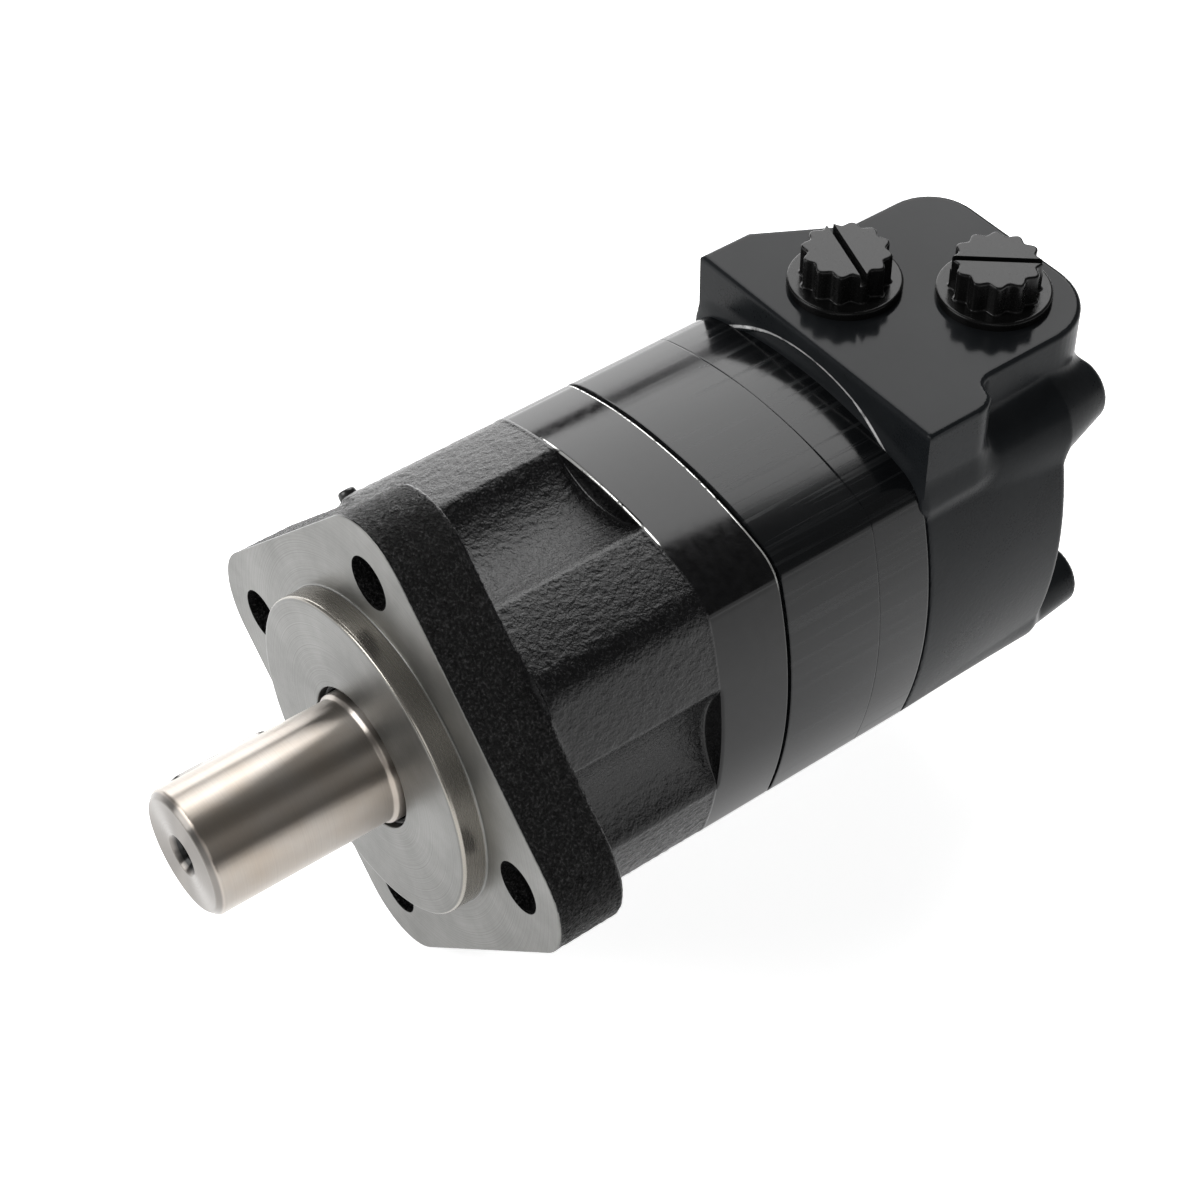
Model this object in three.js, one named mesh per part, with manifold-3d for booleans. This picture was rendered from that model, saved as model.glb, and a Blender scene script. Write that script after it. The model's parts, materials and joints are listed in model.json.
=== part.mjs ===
// Disc-valve orbital hydraulic motor with a square four-hole flange.
// Frame: millimetres. The shaft axis is Y and the shaft points to -Y. The ports look up, +Z.
// The origin is the centre of the flange's mounting face, on the shaft axis.
import * as THREE from "three";
import { mergeVertices } from "three/addons/utils/BufferGeometryUtils.js";
import Module from "manifold-3d";

const wasm = await Module();
wasm.setup();

// ---- driving dimensions ----
const RUN_GAP = 0.25; // clearance between parts that turn against each other
const FIT_GAP = 0.15; // clearance between parts that are seated or pressed together
const FINE = 36; // facets round a large circle
const MID = 28; // facets round a medium circle
const COARSE = 14; // facets round a small circle

// stations along the shaft axis, front to rear
const Y = {
  shaftTip: -54.6,
  pilotFace: -6.5,
  flangeFace: 0,
  flangeRear: 18,
  collarFront: 62.8,
  ringFront: 83,
  plateFront: 110.8,
  valveHousingFront: 127,
  sideWallRear: 172.6,
  rearBoss: 180,
  lobeRear: 189.6,
  portBlockRear: 192,
};

// flange: four-bolt magneto pattern, 82.5 mm pilot, 106.4 mm bolt circle
const PILOT_R = 41.25;
const BOLT_CIRCLE_R = 53.2;
const MOUNT_HOLE_R = 6.75;
const FLANGE_HALF = 54.2;
const FLANGE_CORNER_R = 18.2;

// body section: a square with bulged sides and round corners
const BODY_HALF = 47.3;
const SIDE_ARC_R = 120;
const CORNER_AT = 32.1;
const CORNER_R = 10.4;
const POCKET_FLOOR = 40.5; // distance of the nut pockets' floors from the axis
const POCKET_R = 27.9;

// shaft and key
const SHAFT_R = 15.875;
const JOURNAL_R = 16.7;
const FRONT_SEAT_R = 17.5;
const SHOULDER_R = 24;
const REAR_SEAT_R = 22;
const KEY_WIDTH = 7.94;
const KEY_FRONT = -48;
const KEY_REAR = -19.5;
const KEY_PROUD = 2.4;
const KEYWAY_DEPTH = 4;

// geroler set: six-lobed star inside seven rollers
const LOBES = 6;
const ROLLERS = LOBES + 1;
const ECCENTRICITY = 2.5;
const ROLLER_CIRCLE_R = 31;
const ROLLER_R = 5.6;

// drive splines, the same teeth on both links
const SPLINE_TEETH = 12;
const CROWN = { minor: 9.9, major: 11.7, halfRoot: 7.5, halfTip: 4.2 };
const SOCKET = { minor: 10.4, major: 12.2, halfRoot: 9.9, halfTip: 6.6 };
const LINK_FRONT = 42;
const LINK_REAR = 92;
const VALVE_DRIVE_FRONT = 103.2;
const VALVE_DRIVE_REAR = 134.5;

// ports: two bores in the port face, staggered both ways
const PORT_FACE_Z = 56.8;
const PORT_R = 11.1;
const PORT_DEPTH = 16;
const PORTS = [
  { name: "port_plug_front", x: -12.3, y: 147, slotTurn: -18 },
  { name: "port_plug_rear", x: 12.6, y: 173, slotTurn: 49 },
];

// cap bolts through the four corners, with their heads sunk in the rear housing's lobes
const BOLT_AT = 31.8;
const BOLT_HOLE_R = 4.3;
const BOLT_SHANK_R = 3.97;
const BOLT_HEAD_R = 5.95;
const COUNTERBORE_R = 6.25;
const COUNTERBORE_FLOOR = 179;
const BOLT_TIP = 66;
const CORNERS = [
  [1, 1],
  [-1, 1],
  [-1, -1],
  [1, -1],
];

const SIDES = [
  [1, 0],
  [0, 1],
  [-1, 0],
  [0, -1],
];

const rad = THREE.MathUtils.degToRad;

// ---- solids and booleans ----
// Turns a closed geometry into a manifold-3d solid, facing out.
function solid(geometry) {
  const bare = geometry.clone();
  bare.deleteAttribute("normal");
  bare.deleteAttribute("uv");
  const merged = mergeVertices(bare, 1e-4);
  const triVerts = new Uint32Array(merged.index.array);
  const mesh = () =>
    new wasm.Mesh({
      numProp: 3,
      vertProperties: merged.attributes.position.array,
      triVerts,
    });
  const made = new wasm.Manifold(mesh());
  if (made.volume() > 0) return made;
  for (let i = 0; i < triVerts.length; i += 3) {
    [triVerts[i + 1], triVerts[i + 2]] = [triVerts[i + 2], triVerts[i + 1]];
  }
  return new wasm.Manifold(mesh());
}

function geometryOf(manifold) {
  const mesh = manifold.getMesh();
  const geometry = new THREE.BufferGeometry();
  const positions = [];
  for (let i = 0; i < mesh.numVert; i += 1) {
    const start = i * mesh.numProp;
    positions.push(...mesh.vertProperties.slice(start, start + 3));
  }
  geometry.setAttribute(
    "position",
    new THREE.Float32BufferAttribute(positions, 3),
  );
  geometry.setIndex(Array.from(mesh.triVerts));
  const flat = geometry.toNonIndexed();
  flat.computeVertexNormals();
  return flat;
}

const cut = (body, ...tools) =>
  tools.reduce((left, tool) => left.subtract(tool), body);
const join = (body, ...others) =>
  others.reduce((left, other) => left.add(other), body);

// ---- outlines, as lists of [u, v] points ----
function arc(u, v, r, fromDeg, toDeg, steps) {
  const points = [];
  for (let i = 0; i <= steps; i += 1) {
    const a = rad(fromDeg + ((toDeg - fromDeg) * i) / steps);
    points.push([u + r * Math.cos(a), v + r * Math.sin(a)]);
  }
  return points;
}

function circle(u, v, r, steps) {
  return arc(u, v, r, 0, 360, steps).slice(0, -1);
}

function turned(points, degrees) {
  const a = rad(degrees);
  return points.map(([u, v]) => [
    u * Math.cos(a) - v * Math.sin(a),
    u * Math.sin(a) + v * Math.cos(a),
  ]);
}

const shifted = (points, du, dv) => points.map(([u, v]) => [u + du, v + dv]);

// Repeats one quarter's points four times round the origin.
const fourTimes = (quarter) =>
  [0, 90, 180, 270].flatMap((degrees) => turned(quarter, degrees));

function bodyOutline() {
  const sideCentre = BODY_HALF - SIDE_ARC_R;
  const tangent = THREE.MathUtils.radToDeg(
    Math.atan2(CORNER_AT, CORNER_AT - sideCentre),
  );
  const side = arc(sideCentre, 0, SIDE_ARC_R, -tangent, tangent, 4);
  const corner = arc(CORNER_AT, CORNER_AT, CORNER_R, tangent, 90 - tangent, 4);
  return fourTimes([...side, ...corner.slice(1, -1)]);
}

function flangeOutline() {
  const c = FLANGE_HALF - FLANGE_CORNER_R;
  return turned(fourTimes(arc(c, c, FLANGE_CORNER_R, 0, 90, 8)), 45);
}

function splineOutline({ minor, major, halfRoot, halfTip }) {
  const points = [];
  for (let k = 0; k < SPLINE_TEETH; k += 1) {
    const centre = 90 + (k * 360) / SPLINE_TEETH;
    const at = (r, degrees) => {
      const a = rad(centre + degrees);
      points.push([r * Math.cos(a), r * Math.sin(a)]);
    };
    at(minor, -halfRoot);
    at(major, -halfTip);
    at(major, halfTip);
    at(minor, halfRoot);
  }
  return points;
}

// The star is the path of a roller's centre, seen from the star, moved in by the roller's radius.
function starOutline(steps) {
  const offset = ROLLER_R + FIT_GAP;
  const points = [];
  for (let i = 0; i < steps; i += 1) {
    const s = (2 * Math.PI * i) / steps;
    const u =
      ROLLER_CIRCLE_R * Math.cos(s) - ECCENTRICITY * Math.cos(ROLLERS * s);
    const v =
      ROLLER_CIRCLE_R * Math.sin(s) - ECCENTRICITY * Math.sin(ROLLERS * s);
    const du =
      -ROLLER_CIRCLE_R * Math.sin(s) +
      ROLLERS * ECCENTRICITY * Math.sin(ROLLERS * s);
    const dv =
      ROLLER_CIRCLE_R * Math.cos(s) -
      ROLLERS * ECCENTRICITY * Math.cos(ROLLERS * s);
    const length = Math.hypot(du, dv);
    points.push([u - (dv / length) * offset, v + (du / length) * offset]);
  }
  return turned(points, 90);
}

// The inside of the ring: a bore with one pocket for each roller.
function rollerPocketOutline() {
  const boreR = ROLLER_CIRCLE_R + 2 * ECCENTRICITY - ROLLER_R + RUN_GAP;
  const pocketR = ROLLER_R + FIT_GAP;
  const halfSpan = Math.acos(
    (boreR ** 2 + ROLLER_CIRCLE_R ** 2 - pocketR ** 2) /
      (2 * boreR * ROLLER_CIRCLE_R),
  );
  const mouth = THREE.MathUtils.radToDeg(
    Math.atan2(
      boreR * Math.sin(halfSpan),
      boreR * Math.cos(halfSpan) - ROLLER_CIRCLE_R,
    ),
  );
  const halfPitch = 180 / ROLLERS;
  const halfMouth = THREE.MathUtils.radToDeg(halfSpan);
  const one = [
    ...arc(ROLLER_CIRCLE_R, 0, pocketR, -mouth, mouth, 18),
    ...arc(0, 0, boreR, halfMouth, 2 * halfPitch - halfMouth, 5).slice(1, -1),
  ];
  const outline = [];
  for (let k = 0; k < ROLLERS; k += 1) {
    outline.push(...turned(one, 90 + k * 2 * halfPitch));
  }
  return outline;
}

// ---- shapes along an axis ----
function shapeOf(outline) {
  return new THREE.Shape(outline.map(([u, v]) => new THREE.Vector2(u, v)));
}

// An outline in X and Z, extruded along Y.
function alongY(outline, yFrom, yTo) {
  return solid(
    new THREE.ExtrudeGeometry(shapeOf(outline), {
      depth: yTo - yFrom,
      bevelEnabled: false,
    })
      .rotateX(Math.PI / 2)
      .translate(0, yTo, 0),
  );
}

// An outline in X and Y, extruded along Z.
function alongZ(outline, zFrom, zTo) {
  return solid(
    new THREE.ExtrudeGeometry(shapeOf(outline), {
      depth: zTo - zFrom,
      bevelEnabled: false,
    }).translate(0, 0, zFrom),
  );
}

const rodY = (x, z, r, yFrom, yTo, steps = COARSE) =>
  alongY(circle(x, z, r, steps), yFrom, yTo);
const rodZ = (x, y, r, zFrom, zTo, steps = COARSE) =>
  alongZ(circle(x, y, r, steps), zFrom, zTo);

const boltHoles = (yFrom, yTo) =>
  CORNERS.map(([x, z]) =>
    rodY(x * BOLT_AT, z * BOLT_AT, BOLT_HOLE_R, yFrom, yTo),
  );

// A closed [radius, y] profile turned about the shaft axis.
function latheY(profile, steps = FINE) {
  const points = [...profile, profile[0]].map(
    ([r, y]) => new THREE.Vector2(r, y),
  );
  return solid(new THREE.LatheGeometry(points, steps));
}

const ringY = (rInner, rOuter, yFrom, yTo, steps = FINE) =>
  latheY(
    [
      [rInner, yFrom],
      [rOuter, yFrom],
      [rOuter, yTo],
      [rInner, yTo],
    ],
    steps,
  );

// A stepped cylinder on the shaft axis, from [radius, y] corners in order of y.
function steppedY(corners, steps = FINE) {
  const profile = [
    [0, corners[0][1]],
    ...corners,
    [0, corners[corners.length - 1][1]],
  ];
  return solid(
    new THREE.LatheGeometry(
      profile.map(([r, y]) => new THREE.Vector2(r, y)),
      steps,
    ),
  );
}

// ---- materials ----
const finish = (color, roughness, metalness) =>
  new THREE.MeshStandardMaterial({ color, roughness, metalness });
const castBlack = () => finish(0x242528, 0.5, 0.2);
const groundBlack = () => finish(0x323338, 0.4, 0.25);
const steel = () => finish(0xb5b1aa, 0.28, 1);
const bearingSteel = () => finish(0xc4c6c8, 0.22, 1);
const rubber = () => finish(0x17171a, 0.75, 0);
const darkPlastic = () => finish(0x1a1a1c, 0.45, 0);
const zincSteel = () => finish(0x8d8f92, 0.38, 1);

const motor = new THREE.Group();
motor.name = "hydraulic_motor";

function add(name, manifold, material) {
  const mesh = new THREE.Mesh(geometryOf(manifold), material);
  mesh.name = name;
  motor.add(mesh);
  return mesh;
}

// ---- bearing housing ----
const FRONT_BORE_R = 18.3;
const SEAL_BORE_R = 23;
const FRONT_CUP_R = 31;
const REAR_CUP_R = 35;
const WEAR_PLATE_R = 35.5;
const WEAR_PLATE_FRONT = 78;
const ORING_INNER_R = 37.6;
const ORING_OUTER_R = 39.4;
const ORING_DEPTH = 1.6;
const DRAIN_Y = 21.5;
const DRAIN_ANGLE = 141;
const DRAIN_SEAT = 54;
const DRAIN_HEAD_R = 2.35;
const DRAIN_HEAD_HEIGHT = 3.3;
const DRAIN_HOLE_R = 1.7;

const oringGroove = (yFace) =>
  ringY(
    ORING_INNER_R - FIT_GAP,
    ORING_OUTER_R + FIT_GAP,
    yFace,
    yFace + ORING_DEPTH + FIT_GAP,
    MID,
  );

// Turns a solid made along +Z to point from the axis at the case drain, up and to the left.
function towardsDrain(manifold) {
  return manifold.rotate([0, 90 - DRAIN_ANGLE, 0]).translate([0, DRAIN_Y, 0]);
}

function bearingHousing() {
  const pilot = steppedY([
    [PILOT_R - 0.8, Y.pilotFace],
    [PILOT_R, Y.pilotFace + 0.8],
    [PILOT_R, 1],
  ]);
  const flange = alongY(flangeOutline(), Y.flangeFace, Y.flangeRear);
  const body = alongY(bodyOutline(), Y.flangeRear - 1, Y.ringFront);
  const cavity = steppedY([
    [FRONT_BORE_R, Y.pilotFace - 1],
    [FRONT_BORE_R, -1.2],
    [17.6, -1.2],
    [17.6, 0.9],
    [SEAL_BORE_R, 0.9],
    [SEAL_BORE_R, 10.9],
    [FRONT_CUP_R + FIT_GAP, 10.9],
    [FRONT_CUP_R + FIT_GAP, 30],
    [28, 30],
    [28, 40],
    [REAR_CUP_R + FIT_GAP, 40],
    [REAR_CUP_R + FIT_GAP, 72],
    [30, 74],
    [30, WEAR_PLATE_FRONT - FIT_GAP],
    [WEAR_PLATE_R + FIT_GAP, WEAR_PLATE_FRONT - FIT_GAP],
    [WEAR_PLATE_R + FIT_GAP, Y.ringFront + 1],
  ]);
  const pocketCentre = POCKET_FLOOR + POCKET_R;
  const pockets = [];
  const mountHoles = [];
  for (const [x, z] of SIDES) {
    pockets.push(
      rodY(
        x * pocketCentre,
        z * pocketCentre,
        POCKET_R,
        Y.flangeRear,
        Y.collarFront,
        44,
      ),
    );
    mountHoles.push(
      rodY(
        x * BOLT_CIRCLE_R,
        z * BOLT_CIRCLE_R,
        MOUNT_HOLE_R,
        Y.flangeFace - 1,
        Y.flangeRear + 1,
        20,
      ),
    );
  }
  const drain = towardsDrain(
    join(
      rodZ(0, 0, DRAIN_HEAD_R + FIT_GAP, DRAIN_SEAT, DRAIN_SEAT + 6),
      rodZ(0, 0, DRAIN_HOLE_R, FRONT_CUP_R, DRAIN_SEAT + 1),
    ),
  );
  const drainSlot = towardsDrain(
    rodY(0, 0, DRAIN_HOLE_R, 10.9 - DRAIN_Y, 0).translate([0, 0, FRONT_CUP_R]),
  );
  return cut(
    join(cut(body, ...pockets), flange, pilot),
    cavity,
    ...mountHoles,
    ...boltHoles(BOLT_TIP - 3, Y.ringFront + 1),
    drain,
    drainSlot,
    oringGroove(Y.ringFront - ORING_DEPTH - FIT_GAP),
  );
}
add("bearing_housing", bearingHousing(), castBlack());

// ---- output shaft, key and nut ----
const SHAFT_REAR = 70;

// A bar with round ends along the shaft at 9 o'clock, grown on its sides by the given amount.
function roundEndedKey(growth, rInner, rOuter) {
  const r = KEY_WIDTH / 2 + growth;
  const outline = [
    ...arc(0, KEY_FRONT + KEY_WIDTH / 2, r, 180, 360, 8),
    ...arc(0, KEY_REAR - KEY_WIDTH / 2, r, 0, 180, 8),
  ];
  return alongZ(outline, rInner, rOuter).rotate([0, -90, 0]);
}

function outputShaft() {
  const outside = steppedY([
    [SHAFT_R - 1.5, Y.shaftTip],
    [SHAFT_R, Y.shaftTip + 1.5],
    [SHAFT_R, Y.pilotFace - 1.5],
    [JOURNAL_R, Y.pilotFace - 0.7],
    [JOURNAL_R, 11.7],
    [FRONT_SEAT_R, 11.7],
    [FRONT_SEAT_R, 28.3],
    [SHOULDER_R, 28.3],
    [SHOULDER_R, 41.7],
    [REAR_SEAT_R, 41.7],
    [REAR_SEAT_R, SHAFT_REAR],
  ]);
  const tipHole = steppedY(
    [
      [5.2, Y.shaftTip - 1],
      [5.2, Y.shaftTip],
      [3.6, Y.shaftTip + 2],
      [3.6, Y.shaftTip + 22],
    ],
    COARSE,
  );
  const keyway = roundEndedKey(0.05, SHAFT_R - KEYWAY_DEPTH, SHAFT_R + 5);
  const linkBore = steppedY(
    [
      [13.2, 32],
      [13.2, 34],
      [9, 34],
      [9, 50],
      [14.5, 50],
      [14.5, SHAFT_REAR + 1],
    ],
    MID,
  );
  const socket = alongY(splineOutline(SOCKET), 33.5, 50.5);
  return cut(outside, tipHole, keyway, linkBore, socket);
}
add("output_shaft", outputShaft(), steel());

add(
  "shaft_key",
  roundEndedKey(0, SHAFT_R - KEYWAY_DEPTH + 0.1, SHAFT_R + KEY_PROUD),
  steel(),
);

const shaftNut = cut(
  alongY(circle(0, 0, 29.5, 8), 61, 67),
  rodY(0, 0, REAR_SEAT_R + FIT_GAP, 60, 68, FINE),
);
add("shaft_nut", shaftNut, zincSteel());

// ---- seals ----
add("dust_seal", ringY(JOURNAL_R + RUN_GAP, 18.15, -5, -1.6, MID), rubber());
add(
  "shaft_seal",
  latheY(
    [
      [17, 1.3],
      [SEAL_BORE_R - FIT_GAP, 1.3],
      [SEAL_BORE_R - FIT_GAP, 8.7],
      [20.9, 8.7],
      [20.9, 3.4],
      [18.9, 3.4],
      [18.6, 7.6],
      [17, 7],
    ],
    MID,
  ),
  rubber(),
);
add(
  "seal_washer",
  ringY(17.4, SEAL_BORE_R - FIT_GAP, 9.1, 10.6, MID),
  zincSteel(),
);

// ---- tapered roller bearings ----
const ROLLERS_PER_BEARING = 10;

// A bearing's inner and outer races and rollers, from the radii of its tracks at both ends.
function bearing(prefix, { boreR, cupR, yFrom, yTo, coneR, trackR }) {
  add(
    prefix + "_bearing_cone",
    latheY(
      [
        [boreR, yFrom],
        [coneR[0], yFrom],
        [coneR[1], yTo],
        [boreR, yTo],
      ],
      MID,
    ),
    bearingSteel(),
  );
  add(
    prefix + "_bearing_cup",
    latheY(
      [
        [trackR[0], yFrom],
        [cupR, yFrom],
        [cupR, yTo],
        [trackR[1], yTo],
      ],
      MID,
    ),
    bearingSteel(),
  );
  const midR = [0, 1].map((end) => (coneR[end] + trackR[end]) / 2);
  const rollR = [0, 1].map(
    (end) => (trackR[end] - coneR[end]) / 2 - RUN_GAP,
  );
  const inset = 1;
  const cage = latheY(
    [
      [midR[0] - 0.6, yFrom + inset],
      [midR[0] + 0.6, yFrom + inset],
      [midR[1] + 0.6, yTo - inset],
      [midR[1] - 0.6, yTo - inset],
    ],
    MID,
  );
  const length = yTo - yFrom - 3 * inset;
  const tilt = Math.atan2(midR[1] - midR[0], yTo - yFrom);
  const rollers = [];
  for (let k = 0; k < ROLLERS_PER_BEARING; k += 1) {
    const roller = new THREE.CylinderGeometry(rollR[1], rollR[0], length, 8)
      .rotateZ(-tilt)
      .translate((midR[0] + midR[1]) / 2, (yFrom + yTo) / 2, 0)
      .rotateY((k * 2 * Math.PI) / ROLLERS_PER_BEARING);
    rollers.push(solid(roller));
  }
  add(prefix + "_roller_cage", join(cage, ...rollers), bearingSteel());
}
bearing("front", {
  boreR: FRONT_SEAT_R + FIT_GAP,
  cupR: FRONT_CUP_R,
  yFrom: 12,
  yTo: 28,
  coneR: [22.6, 20.8],
  trackR: [27.8, 26],
});
bearing("rear", {
  boreR: REAR_SEAT_R + FIT_GAP,
  cupR: REAR_CUP_R,
  yFrom: 42.2,
  yTo: 59.8,
  coneR: [25.6, 27.4],
  trackR: [30.8, 32.6],
});

// ---- geroler set ----
add(
  "wear_plate",
  ringY(15, WEAR_PLATE_R, WEAR_PLATE_FRONT, Y.ringFront - 0.1),
  groundBlack(),
);

add(
  "geroler_ring",
  cut(
    alongY(bodyOutline(), Y.ringFront, Y.plateFront),
    alongY(rollerPocketOutline(), Y.ringFront - 1, Y.plateFront + 1),
    ...boltHoles(Y.ringFront - 1, Y.plateFront + 1),
  ),
  groundBlack(),
);

const starFront = Y.ringFront + FIT_GAP;
const starRear = Y.plateFront - FIT_GAP;
const star = cut(
  alongY(shifted(starOutline(96), 0, ECCENTRICITY), starFront, starRear),
  alongY(
    shifted(splineOutline(SOCKET), 0, ECCENTRICITY),
    starFront - 1,
    starRear + 1,
  ),
);
add("star", star, bearingSteel());

for (let k = 0; k < ROLLERS; k += 1) {
  const a = rad(90 + (k * 360) / ROLLERS);
  add(
    "geroler_roller_" + (k + 1),
    rodY(
      ROLLER_CIRCLE_R * Math.cos(a),
      ROLLER_CIRCLE_R * Math.sin(a),
      ROLLER_R,
      starFront,
      starRear,
      24,
    ),
    bearingSteel(),
  );
}

// ---- drive links ----
// A splined bar with a crown at each end, made along Y and then tilted so that its star end is off the axis.
function splinedLink({ front, rear, halfCrown, neckR, frontOff, rearOff }) {
  const crown = (y, half) =>
    alongY(splineOutline(CROWN), y - half, y + half);
  const half = (rear - front) / 2;
  const link = join(
    rodY(0, 0, neckR, -half, half, MID),
    crown(-half, halfCrown[0]),
    crown(half, halfCrown[1]),
  );
  const tilt = THREE.MathUtils.radToDeg(
    Math.asin((rearOff - frontOff) / (2 * half)),
  );
  return link
    .rotate([tilt, 0, 0])
    .translate([0, (front + rear) / 2, (frontOff + rearOff) / 2]);
}
add(
  "drive_link",
  splinedLink({
    front: LINK_FRONT,
    rear: LINK_REAR,
    halfCrown: [4.5, 4.5],
    neckR: 8.5,
    frontOff: 0,
    rearOff: ECCENTRICITY,
  }),
  steel(),
);
add(
  "valve_drive",
  splinedLink({
    front: VALVE_DRIVE_FRONT,
    rear: VALVE_DRIVE_REAR,
    halfCrown: [2.2, 2.2],
    neckR: 7,
    frontOff: ECCENTRICITY,
    rearOff: 0,
  }),
  steel(),
);
add(
  "drive_spacer",
  rodY(0, ECCENTRICITY, 8.6, 98, 99.4, MID),
  zincSteel(),
);

// ---- valve plate ----
const windows = [];
for (let k = 0; k < ROLLERS; k += 1) {
  const a = rad(90 + ((k + 0.5) * 360) / ROLLERS);
  windows.push(
    rodY(
      26.4 * Math.cos(a),
      26.4 * Math.sin(a),
      2.6,
      Y.plateFront - 1,
      Y.valveHousingFront + 1,
      12,
    ),
  );
}
add(
  "valve_plate",
  cut(
    alongY(bodyOutline(), Y.plateFront, Y.valveHousingFront),
    rodY(0, 0, 13.5, Y.plateFront - 1, Y.valveHousingFront + 1, MID),
    ...windows,
    ...boltHoles(Y.plateFront - 1, Y.valveHousingFront + 1),
    oringGroove(Y.plateFront),
  ),
  groundBlack(),
);

// ---- disc valve and balance ring ----
const DISC_R = 29;
const DISC_REAR = 138;
const RING_REAR = 152;
const GUIDE_R = 27.1;
const HUB_R = 16.7;
const PIN_CIRCLE_R = 22;

const discPorts = [];
for (let k = 0; k < 2 * LOBES; k += 1) {
  const a = rad(90 + ((k + 0.5) * 180) / LOBES);
  const outer = k % 2 === 0;
  const at = outer ? DISC_R : 23.5;
  discPorts.push(
    rodY(
      at * Math.cos(a),
      at * Math.sin(a),
      outer ? 2.8 : 2.2,
      Y.valveHousingFront - 1,
      DISC_REAR + (outer ? -3 : 1),
      10,
    ),
  );
}
add(
  "disc_valve",
  cut(
    steppedY([
      [DISC_R, Y.valveHousingFront + FIT_GAP],
      [DISC_R, DISC_REAR],
      [14.4, DISC_REAR],
      [14.4, 144],
    ]),
    alongY(splineOutline(SOCKET), 126, 145),
    ...discPorts,
  ),
  bearingSteel(),
);

const pinHoles = (r, yFrom, yTo) =>
  [1, -1].map((side) => rodY(0, side * PIN_CIRCLE_R, r, yFrom, yTo, 12));
const springPockets = (r, yFrom, yTo) =>
  [1, -1].map((side) => rodY(side * PIN_CIRCLE_R, 0, r, yFrom, yTo, 16));

add(
  "balance_ring",
  cut(
    latheY([
      [17, DISC_REAR + 0.3],
      [GUIDE_R - 0.3, DISC_REAR + 0.3],
      [GUIDE_R - 0.3, 147.5],
      [25.2, 147.5],
      [25.2, 149.7],
      [GUIDE_R - 0.3, 149.7],
      [GUIDE_R - 0.3, RING_REAR],
      [17, RING_REAR],
      [17, 150.6],
      [18.8, 150.6],
      [18.8, 148.4],
      [17, 148.4],
    ]),
    ...pinHoles(2.3, 145, RING_REAR + 1),
  ),
  bearingSteel(),
);
add("balance_ring_outer_seal", ringY(25.45, 26.9, 147.7, 149.5, MID), rubber());
add("balance_ring_inner_seal", ringY(16.95, 18.65, 148.6, 150.4, MID), rubber());
for (const [index, side] of [1, -1].entries()) {
  add(
    "balance_pin_" + (index + 1),
    rodY(0, side * PIN_CIRCLE_R, 2, 145.5, 158, 12),
    zincSteel(),
  );
}

// A small compression spring behind the balance ring.
class Helix extends THREE.Curve {
  constructor(r, turns, yFrom, yTo) {
    super();
    Object.assign(this, { r, turns, yFrom, yTo });
  }
  getPoint(t, target = new THREE.Vector3()) {
    const a = 2 * Math.PI * this.turns * t;
    return target.set(
      this.r * Math.cos(a),
      THREE.MathUtils.lerp(this.yFrom, this.yTo, t),
      this.r * Math.sin(a),
    );
  }
}
for (const [index, side] of [1, -1].entries()) {
  const spring = new THREE.ExtrudeGeometry(shapeOf(circle(0, 0, 0.4, 5)), {
    steps: 30,
    extrudePath: new Helix(1.9, 3, 152.6, 157.6),
    bevelEnabled: false,
  }).translate(side * PIN_CIRCLE_R, 0, 0);
  add("balance_spring_" + (index + 1), solid(spring), zincSteel());
}

// ---- valve housing with the port block ----
const BLOCK_HALF_FRONT = 42.2;
const BLOCK_LEFT_REAR = -29.2;
const BLOCK_RIGHT_REAR = 34;
const CASTING_DRAFT = 0.018;
const LOBE_AT = { x: 31.4, z: 32.1 };
const LOBE_ROOT_R = { upper: 12.6, lower: 9.8 };
const LOBE_TIP_R = 8.4;
const SPOT_FACE_R = 14.7;
const SPOT_FACE_DEPTH = 0.3;

function portBlockOutline() {
  const front = Y.valveHousingFront;
  const rear = Y.portBlockRear;
  return [
    [-BLOCK_HALF_FRONT, front],
    [BLOCK_HALF_FRONT, front],
    ...arc(BLOCK_HALF_FRONT - 8, 141.5, 8, 0, 45, 4),
    ...arc(BLOCK_RIGHT_REAR + 6, 153, 6, 225, 180, 4),
    ...arc(BLOCK_RIGHT_REAR - 18, rear - 18, 18, 0, 90, 8),
    ...arc(BLOCK_LEFT_REAR + 13, rear - 13, 13, 90, 180, 7),
    [BLOCK_LEFT_REAR, 163.5],
    [-BLOCK_HALF_FRONT, 141.3],
  ];
}

// The body's section from the valve plate back, drawn in evenly towards the rear.
function draftedBody() {
  const depth = Y.sideWallRear - Y.valveHousingFront;
  const geometry = new THREE.ExtrudeGeometry(shapeOf(bodyOutline()), {
    depth,
    bevelEnabled: false,
  });
  const position = geometry.attributes.position;
  for (let i = 0; i < position.count; i += 1) {
    const share = 1 - position.getZ(i) / depth;
    const scale = 1 - CASTING_DRAFT * share;
    position.setXY(i, position.getX(i) * scale, position.getY(i) * scale);
  }
  return solid(
    geometry.rotateX(Math.PI / 2).translate(0, Y.sideWallRear, 0),
  );
}

// A boss for a bolt's head, tapering both ways from the side wall's rear edge.
// The upper two are stouter there.
function lobe(x, z, upper) {
  const rFront = upper ? LOBE_ROOT_R.upper : LOBE_ROOT_R.lower;
  return steppedY(
    [
      [LOBE_TIP_R, Y.valveHousingFront + 4],
      [rFront, Y.sideWallRear],
      [LOBE_TIP_R, Y.lobeRear - 1.8],
      [LOBE_TIP_R - 0.6, Y.lobeRear - 0.6],
      [LOBE_TIP_R - 1.7, Y.lobeRear],
    ],
    20,
  ).translate([x, 0, z]);
}

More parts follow.
